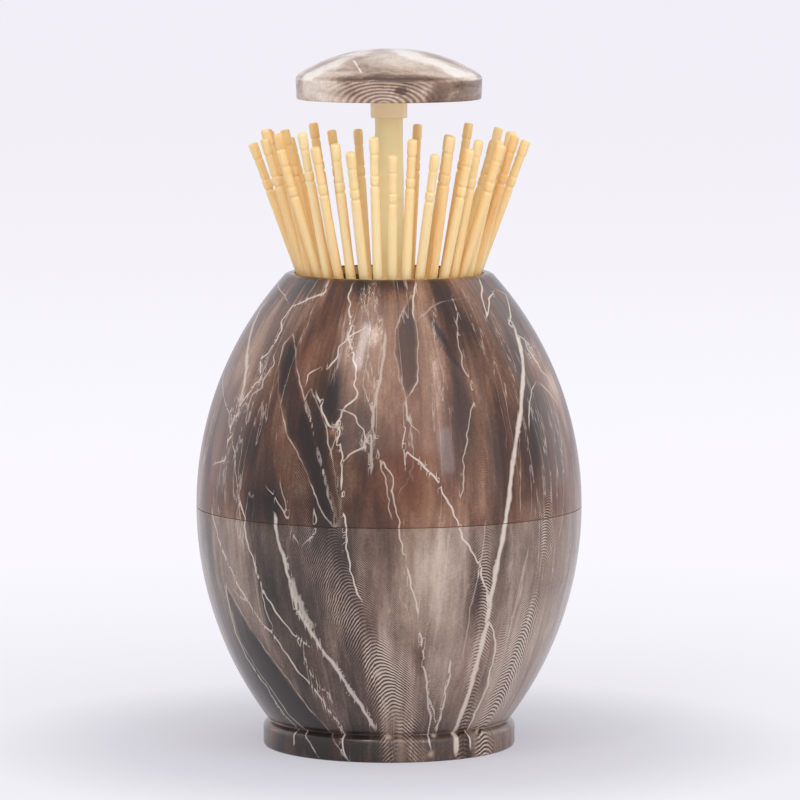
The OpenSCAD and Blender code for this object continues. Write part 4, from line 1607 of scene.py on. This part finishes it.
@dataclass
class Lid:
    """Domed lid with its plug, collar and the stem that carries it."""

    cap_z: float = 127.5
    cap_r: float = 18.3
    skirt_h: float = 4.0
    skirt_draw: float = 0.2
    dome_h: float = 5.9
    wall: float = 1.5
    plug_t: float = 1.8
    plug_lift: float = 0.4
    socket_h: float = 3.4
    collar_r: float = 3.6
    collar_z: float = 123.8
    stem_r: float = 2.9
    stem_top_r: float = 2.75
    stem_thin_l: float = 6.0
    bore_r: float = 2.2
    flange_r: float = 4.8
    flange_z: float = 54.3
    tray_z: float = 55.8
    dome_shares: tuple[tuple[float, float], ...] = (
        (1, 0), (0.985, 0.1), (0.945, 0.2), (0.895, 0.3), (0.83, 0.4), (0.77, 0.5),
        (0.7, 0.6), (0.615, 0.695), (0.51, 0.8), (0.376, 0.9), (0.2, 0.972), (0, 1),
    )

    def dome(self, radius: float, height: float) -> np.ndarray:
        """Returns the dome's smooth outline for a radius and a height above the skirt."""
        shares = np.asarray(self.dome_shares)
        mirrored = np.vstack([shares, [[-0.2, 0.972]]])
        curve = flowing(mirrored, 7)[: (len(shares) - 1) * 7 + 1]
        curve[-1] = (0, 1)
        return curve * [radius, height] + [0, self.cap_z + self.skirt_h]

    def lid(self) -> Surface:
        """Turns the lid: skirt with eased edges, crease, dome and the hollow under it."""
        crease = self.cap_z + self.skirt_h
        low = self.cap_r - self.skirt_draw
        skirt = eased(
            (
                (self.cap_r - self.wall, self.cap_z, 0.15),
                (low, self.cap_z, 0.35),
                (self.cap_r, crease, 0.2),
                (self.cap_r * 0.98, crease + 0.6, 0),
            ),
            6,
            False,
        )[:-1]
        outer = self.dome(self.cap_r, self.dome_h)
        inner = self.dome(self.cap_r - self.wall, self.dome_h - self.wall)[::-1]
        outline = np.vstack([inner[:-1], skirt, outer[2:]])
        outline[0, 0] = 0
        return turned(outline, 200, Edge.AXIS)

    def plug(self) -> Surface:
        """Turns the disc that closes the lid from below, with its socket and the collar."""
        disc = self.cap_z + self.plug_lift
        disc_r = self.cap_r - self.wall - 0.03
        top = self.cap_z + self.plug_t + self.socket_h
        bore = self.stem_top_r + 0.03
        boss = self.stem_top_r * 1.5
        outline = eased(
            (
                (bore, self.collar_z, 0.1),
                (self.collar_r, self.collar_z, 0.35),
                (self.collar_r, disc, 0.4),
                (disc_r, disc, 0.2),
                (disc_r, disc + self.plug_t, 0.15),
                (boss, disc + self.plug_t, 0.4),
                (boss, top, 0.3),
                (bore, top, 0.1),
            )
        )
        return turned(filled_in(outline, 3), 96)

    def stem(self) -> Surface:
        """Turns the stem: flange, tube and the thinner top."""
        thin = self.collar_z - self.stem_thin_l
        top = self.cap_z + self.plug_t + self.socket_h
        outline = eased(
            (
                (self.bore_r, self.flange_z, 0.1),
                (self.flange_r, self.flange_z, 0.25),
                (self.flange_r, self.tray_z, 0.1),
                (self.stem_r, self.tray_z, 0.05),
                (self.stem_r, thin - self.stem_thin_l, 1.5),
                (self.stem_top_r, thin, 1.5),
                (self.stem_top_r, top, 0.2),
                (self.bore_r, top, 0.1),
            )
        )
        return turned(filled_in(outline, 4), 64)

    def build(self) -> None:
        """Makes the lid, its plug and the stem, and puts them on the plunger."""
        marble = LidMarble().material()
        cream = Plastic("collar_cream", (255, 240, 206), (255, 230, 190), 0.34, 0.15)
        ivory = Plastic("stem_ivory", (255, 241, 194), (255, 230, 172), 0.36, 0.2)
        for name, surface, material, node, slot in (
            ("lid_dome", self.lid(), marble, "cap", "shell_upper"),
            ("lid_plug", self.plug(), cream.material(), "cap_plug", "collar_plastic"),
            ("lid_stem", self.stem(), ivory.material(), "stem", "stem_plastic"),
        ):
            finish_piece(add_piece(name, surface, [material]), Body.PLUNGER, [node])


@dataclass
class ToothpickFan:
    """The turned toothpicks, each on its own body."""

    frame: dict
    radius: float = 0.95
    point_r: float = 0.25
    point_l: float = 9.0
    around: int = 20

    def outline(self, length: float) -> np.ndarray:
        """Draws one toothpick: round point, taper, shaft, two rings, neck and bead.

        Args:
            length: its length from the middle of the round point.

        Returns:
            Radius and distance along it, one row a point.
        """
        r, groove, waist = self.radius, self.radius * 0.8, self.radius * 0.87
        ring, head = length - 7.9, length - 3.0
        tip = self.point_r * 1.06
        corners = (
            (0, -tip, 0), (tip * 0.9, -tip * 0.8, 0.15), (self.point_r, 0.1, 0.1),
            (r * 0.8, self.point_l * 0.62, 2.5), (r, self.point_l * 1.05, 2.5), (r, ring - 2.15, 0.2),
            (groove, ring - 1.85, 0.1),
            (groove, ring - 1.6, 0.1), (r, ring - 1.3, 0.25), (r, ring, 0.25), (groove, ring + 0.3, 0.15),
            (r * 0.95, ring + 0.8, 0.3), (waist, (ring + head) / 2, 1.2), (r * 0.95, head - 0.7, 0.3),
            (groove * 1.03, head - 0.25, 0.15), (r, head + 0.15, 0.3), (r, length - 0.3, 0.25),
            (r * 0.84, length, 0.1), (0, length, 0),
        )
        return eased(corners, 4, False)

    def axes(self, joint: dict) -> tuple[np.ndarray, np.ndarray]:
        """Finds where a toothpick stands and how it leans.

        Leaning about a level axis (a, b, 0) tips the upright towards (b, -a, 0).

        Args:
            joint: the record's joint for its lean.

        Returns:
            Its point in millimetres, and its own x, y and z directions, one a row.
        """
        tip = np.asarray(joint["pos_m"]) / MM
        hinge = np.asarray(joint["axis"], float)
        lean = -math.radians(min(joint["range_deg"]))
        outward = np.array([hinge[1], -hinge[0], 0])
        along = outward * math.sin(lean) + np.array([0, 0, math.cos(lean)])
        return tip, np.stack([np.cross(hinge, along), hinge, along])

    def build(self) -> None:
        """Makes every toothpick with its own fibre pattern and puts it on its body."""
        wood = TurnedWood().material()
        leans = [joint for joint in self.frame["joints"] if joint["name"].endswith("_lean")]
        rng = np.random.default_rng(3)
        for joint in leans:
            node = joint["child"]
            tip, axes = self.axes(joint)
            mesh = self.frame["nodes"][node].data
            solid = np.zeros(len(mesh.vertices) * 3)
            mesh.vertices.foreach_get("co", solid)
            length = float(((solid.reshape(-1, 3) / MM - tip) @ axes[2]).max())
            outline = self.outline(length)
            surface = turned(filled_open(outline, 6), self.around, Edge.AXIS)
            piece = add_piece(node + "_turned", surface.placed(axes, tip), [wood])
            self.wrap(piece, surface.points, rng.uniform(0, 400))
            finish_piece(piece, node, [node])

    def wrap(self, piece: bpy.types.Object, points: np.ndarray, start: float) -> None:
        """Lays a UV map round a toothpick.

        Args:
            piece: the toothpick.
            points: its points before it was placed, in millimetres.
            start: where its stretch of the fibre pattern begins.
        """
        mesh = piece.data
        corner = np.zeros(len(mesh.loops), np.int32)
        mesh.loops.foreach_get("vertex_index", corner)
        turn = np.abs(np.arctan2(points[:, 0], -points[:, 1])) + 0.3 * points[:, 1]
        flat = np.column_stack([turn + start, points[:, 2] + start * 9])
        layer = mesh.uv_layers.new(name="along")
        layer.data.foreach_set("uv", flat[corner].astype(np.float32).ravel())


@dataclass
class LiftSpring:
    """The spring that lifts the plunger: a helix with straight ends on two flanges."""

    low: float = 4.17
    high: float = 54.3
    radius: float = 4.1
    wire: float = 0.9
    turns: int = 10
    keep: float = 0.242

    def path(self) -> np.ndarray:
        """Returns the wire's path: straight up, a quarter bend, the helix, and the same again."""
        lead = math.asin(self.wire / self.radius)
        a = np.linspace(lead, math.tau * self.turns - lead, 32 * self.turns)
        rise = (a - a[0]) / (a[-1] - a[0])
        z = self.low + self.wire * 2 + (self.high - self.low - self.wire * 4) * rise
        helix = np.column_stack([self.radius * np.cos(a), self.radius * np.sin(a), z])
        b = np.linspace(0, math.pi / 2, 7)[:-1]
        bend = np.column_stack(
            [np.full(6, self.radius), self.wire * (1 - np.cos(b)), self.low + self.wire * (1 + np.sin(b))]
        )
        start = np.vstack([[[self.radius, 0, self.low]], bend])
        end = start[::-1] * [1, -1, -1] + [0, 0, self.low + self.high]
        return np.vstack([start, helix, end])

    def build(self) -> None:
        """Makes the spring on the lower body, with a mesh of its own."""
        surface = tube(self.path(), self.wire / 2, 12)
        steel = Steel("spring_steel", (176, 178, 182), 0.24).material()
        piece = add_piece("lift_spring_wire", surface, [steel])
        finish_piece(piece, Body.LOWER, ["lift_spring"])
        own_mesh(piece)


@dataclass
class Workings:
    """The carried-over nodes inside, which keep their shape and get their finish here."""

    frame: dict

    def build(self) -> None:
        """Gives each remaining node its material."""
        steel = Steel("plated_steel")
        white = Plastic("latch_white", (236, 234, 226), (226, 222, 212), 0.32)
        finishes = {
            "base_plate": Plastic("base_black", (46, 43, 42), (36, 34, 33), 0.5),
            "base_screws": steel,
            "guide_post": Steel("post_steel", (186, 188, 192), 0.22),
            "post_screw": steel,
            "stop_screw": steel,
            "stem_bush": white,
            "tray": Plastic("tray_cream", (238, 226, 200), (230, 214, 184), 0.4, 0.1),
            "tray_clip": steel,
            "tray_screws": steel,
            "cam_block": white,
            "latch_hook": Steel("hook_wire", (182, 184, 188), 0.2),
            "hook_clip": Steel("clip_steel", (120, 120, 124), 0.34),
        }
        made = {finish: finish.material() for finish in dict.fromkeys(finishes.values())}
        for node, finish in finishes.items():
            data = self.frame["nodes"][node].data
            data.materials.clear()
            data.materials.append(made[finish])
            log.info("%s: finished as %s", node, finish.name)


@dataclass(frozen=True)
class Glint:
    """A small lamp that shows as a highlight at a pixel of the photograph."""

    name: str
    pixel: Pixel
    size: tuple[float, float]
    power: float
    colour: tuple[float, float, float] = (0.9, 0.94, 1.0)
    distance: float = 1.0


@dataclass
class Studio:
    """Pale floor, surroundings, soft lamps and the camera."""

    egg: Egg
    view: View
    floor_r: float = 40.0
    # Seen colour by distance from the axis: within about 85 mm it darkens into a painted contact shadow round
    # the foot.
    floor_tones_with_painted_shadow: tuple[tuple[float, Colour], ...] = (
        (0.08, (184, 181, 188)), (0.15, (198, 195, 202)), (0.22, (226, 224, 229)),
        (0.5, (242, 239, 245)), (0.7, (244, 241, 247)), (0.93, (242, 238, 246)),
    )
    glints: tuple[Glint, ...] = (
        Glint("window_glint", (362, 347), (0.09, 0.30), 1.0),
        Glint("side_glint", (446, 452), (0.16, 0.26), 0.5),
    )

    def floor(self) -> None:
        """Makes the floor: white under the lamps, and pale to the camera and in reflections, with a painted
        shadow that darkens it round the foot.
        """
        grid = np.array([[-1, -1, 0], [1, -1, 0], [1, 1, 0], [-1, 1, 0]], float) * self.floor_r / MM
        g = Graph("floor_white")
        path = g.node("ShaderNodeLightPath")
        mirrored = g.times(path.outputs["Is Glossy Ray"], 0.25)
        share = g.plus(g.times(path.outputs["Is Camera Ray"], 0.7), mirrored)
        away = g.node("ShaderNodeVectorMath", operation="LENGTH")
        g.feed(away.inputs[0], g.place())
        spread = g.math("DIVIDE", away.outputs["Value"], g.math("ADD", away.outputs["Value"], 0.3))
        glow = g.node("ShaderNodeEmission")
        # Painted shadow: the seen colour darkens near the axis, round the foot.
        g.feed(glow.inputs["Color"], g.ramp(spread, self.floor_tones_with_painted_shadow))
        glow.inputs["Strength"].default_value = 1.2
        matt = g.node("ShaderNodeBsdfDiffuse")
        matt.inputs["Color"].default_value = linear((240, 240, 246))
        mix = g.node("ShaderNodeMixShader")
        g.feed(mix.inputs[0], share)
        g.feed(mix.inputs[1], matt.outputs[0])
        g.feed(mix.inputs[2], glow.outputs[0])
        g.feed(g.tree.nodes["Material Output"].inputs["Surface"], mix.outputs[0])
        floor = add_piece("floor", Surface(grid, np.array([[0, 1, 2, 3]])), [g.material])

    def world(self) -> None:
        """Lights everything evenly, and shows pale surroundings to the camera."""
        world = bpy.data.worlds.new("surroundings")
        bpy.context.scene.world = world
        world.use_nodes = True
        tree = world.node_tree
        back = tree.nodes["Background"]
        back.inputs["Color"].default_value = (0.94, 0.95, 1.0, 1)
        back.inputs["Strength"].default_value = 0.55
        seen = tree.nodes.new("ShaderNodeBackground")
        seen.inputs["Color"].default_value = linear((243, 242, 250))
        seen.inputs["Strength"].default_value = 0.95
        path = tree.nodes.new("ShaderNodeLightPath")
        half = tree.nodes.new("ShaderNodeMath")
        half.operation = "MULTIPLY_ADD"
        tree.links.new(path.outputs["Is Glossy Ray"], half.inputs[0])
        half.inputs[1].default_value = 0.8
        tree.links.new(path.outputs["Is Camera Ray"], half.inputs[2])
        mix = tree.nodes.new("ShaderNodeMixShader")
        tree.links.new(half.outputs[0], mix.inputs[0])
        tree.links.new(back.outputs[0], mix.inputs[1])
        tree.links.new(seen.outputs[0], mix.inputs[2])
        tree.links.new(mix.outputs[0], tree.nodes["World Output"].inputs["Surface"])

    def lamp(
        self,
        name: str,
        place: Vector,
        aim: Vector,
        size: tuple[float, float],
        power: float,
        colour: tuple[float, float, float] = (1, 1, 1),
    ) -> None:
        """Hangs an area lamp.

        Args:
            name: its name.
            place: where it hangs, in metres.
            aim: the point that it faces.
            size: its width and height, in metres.
            power: its power in watts.
            colour: its colour.
        """
        data = bpy.data.lights.new(name, "AREA")
        data.shape = "RECTANGLE"
        data.size, data.size_y = size
        data.energy, data.color = power, colour
        lamp = bpy.data.objects.new(name, data)
        lamp.location = place
        lamp.rotation_euler = (aim - place).to_track_quat("-Z", "Y").to_euler()
        bpy.context.scene.collection.objects.link(lamp)

    def glint(self, glint: Glint) -> None:
        """Hangs a lamp where the egg mirrors it to the camera at the glint's pixel."""
        azimuth, z = self.egg.marks([glint.pixel], self.view)[0]
        r, higher = self.egg.radius_at(np.array([z, z + 0.5]))
        steep = (r - higher) / 0.5
        normal = Vector((math.sin(azimuth), -math.cos(azimuth), steep)).normalized()
        point = Vector((r * math.sin(azimuth), -r * math.cos(azimuth), z)) * MM
        to_eye = (Vector(self.view.place) - point).normalized()
        mirrored = 2 * normal.dot(to_eye) * normal - to_eye
        self.lamp(glint.name, point + mirrored * glint.distance, point, glint.size, glint.power, glint.colour)

    def build(self) -> None:
        """Makes the floor, the surroundings, the lamps and the camera."""
        self.view.add_camera()
        self.world()
        self.floor()
        middle = Vector((0, 0, 0.075))
        self.lamp("key", Vector((0.05, -1.0, 1.05)), middle, (1.8, 1.4), 9.4)
        self.lamp("fill", Vector((0.9, -0.7, 0.5)), middle, (0.9, 1.1), 1.6)
        self.lamp("back_left", Vector((-0.9, 0.5, 0.45)), middle, (0.7, 1.1), 1.3)
        self.lamp("back_right", Vector((0.9, 0.55, 0.45)), middle, (0.7, 1.1), 1.5)
        for glint in self.glints:
            self.glint(glint)
        bpy.context.scene.view_settings.view_transform = "Standard"


def main() -> None:
    """Builds every sub-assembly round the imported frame."""
    logging.basicConfig(level=logging.INFO, format="%(message)s")
    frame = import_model()
    egg, view = Egg(), View()
    Shells(egg, MarblePrintAndPaintedShade(egg, view)).build()
    Lid().build()
    ToothpickFan(frame).build()
    LiftSpring().build()
    Workings(frame).build()
    Studio(egg, view).build()


if __name__ == "__main__":
    main()
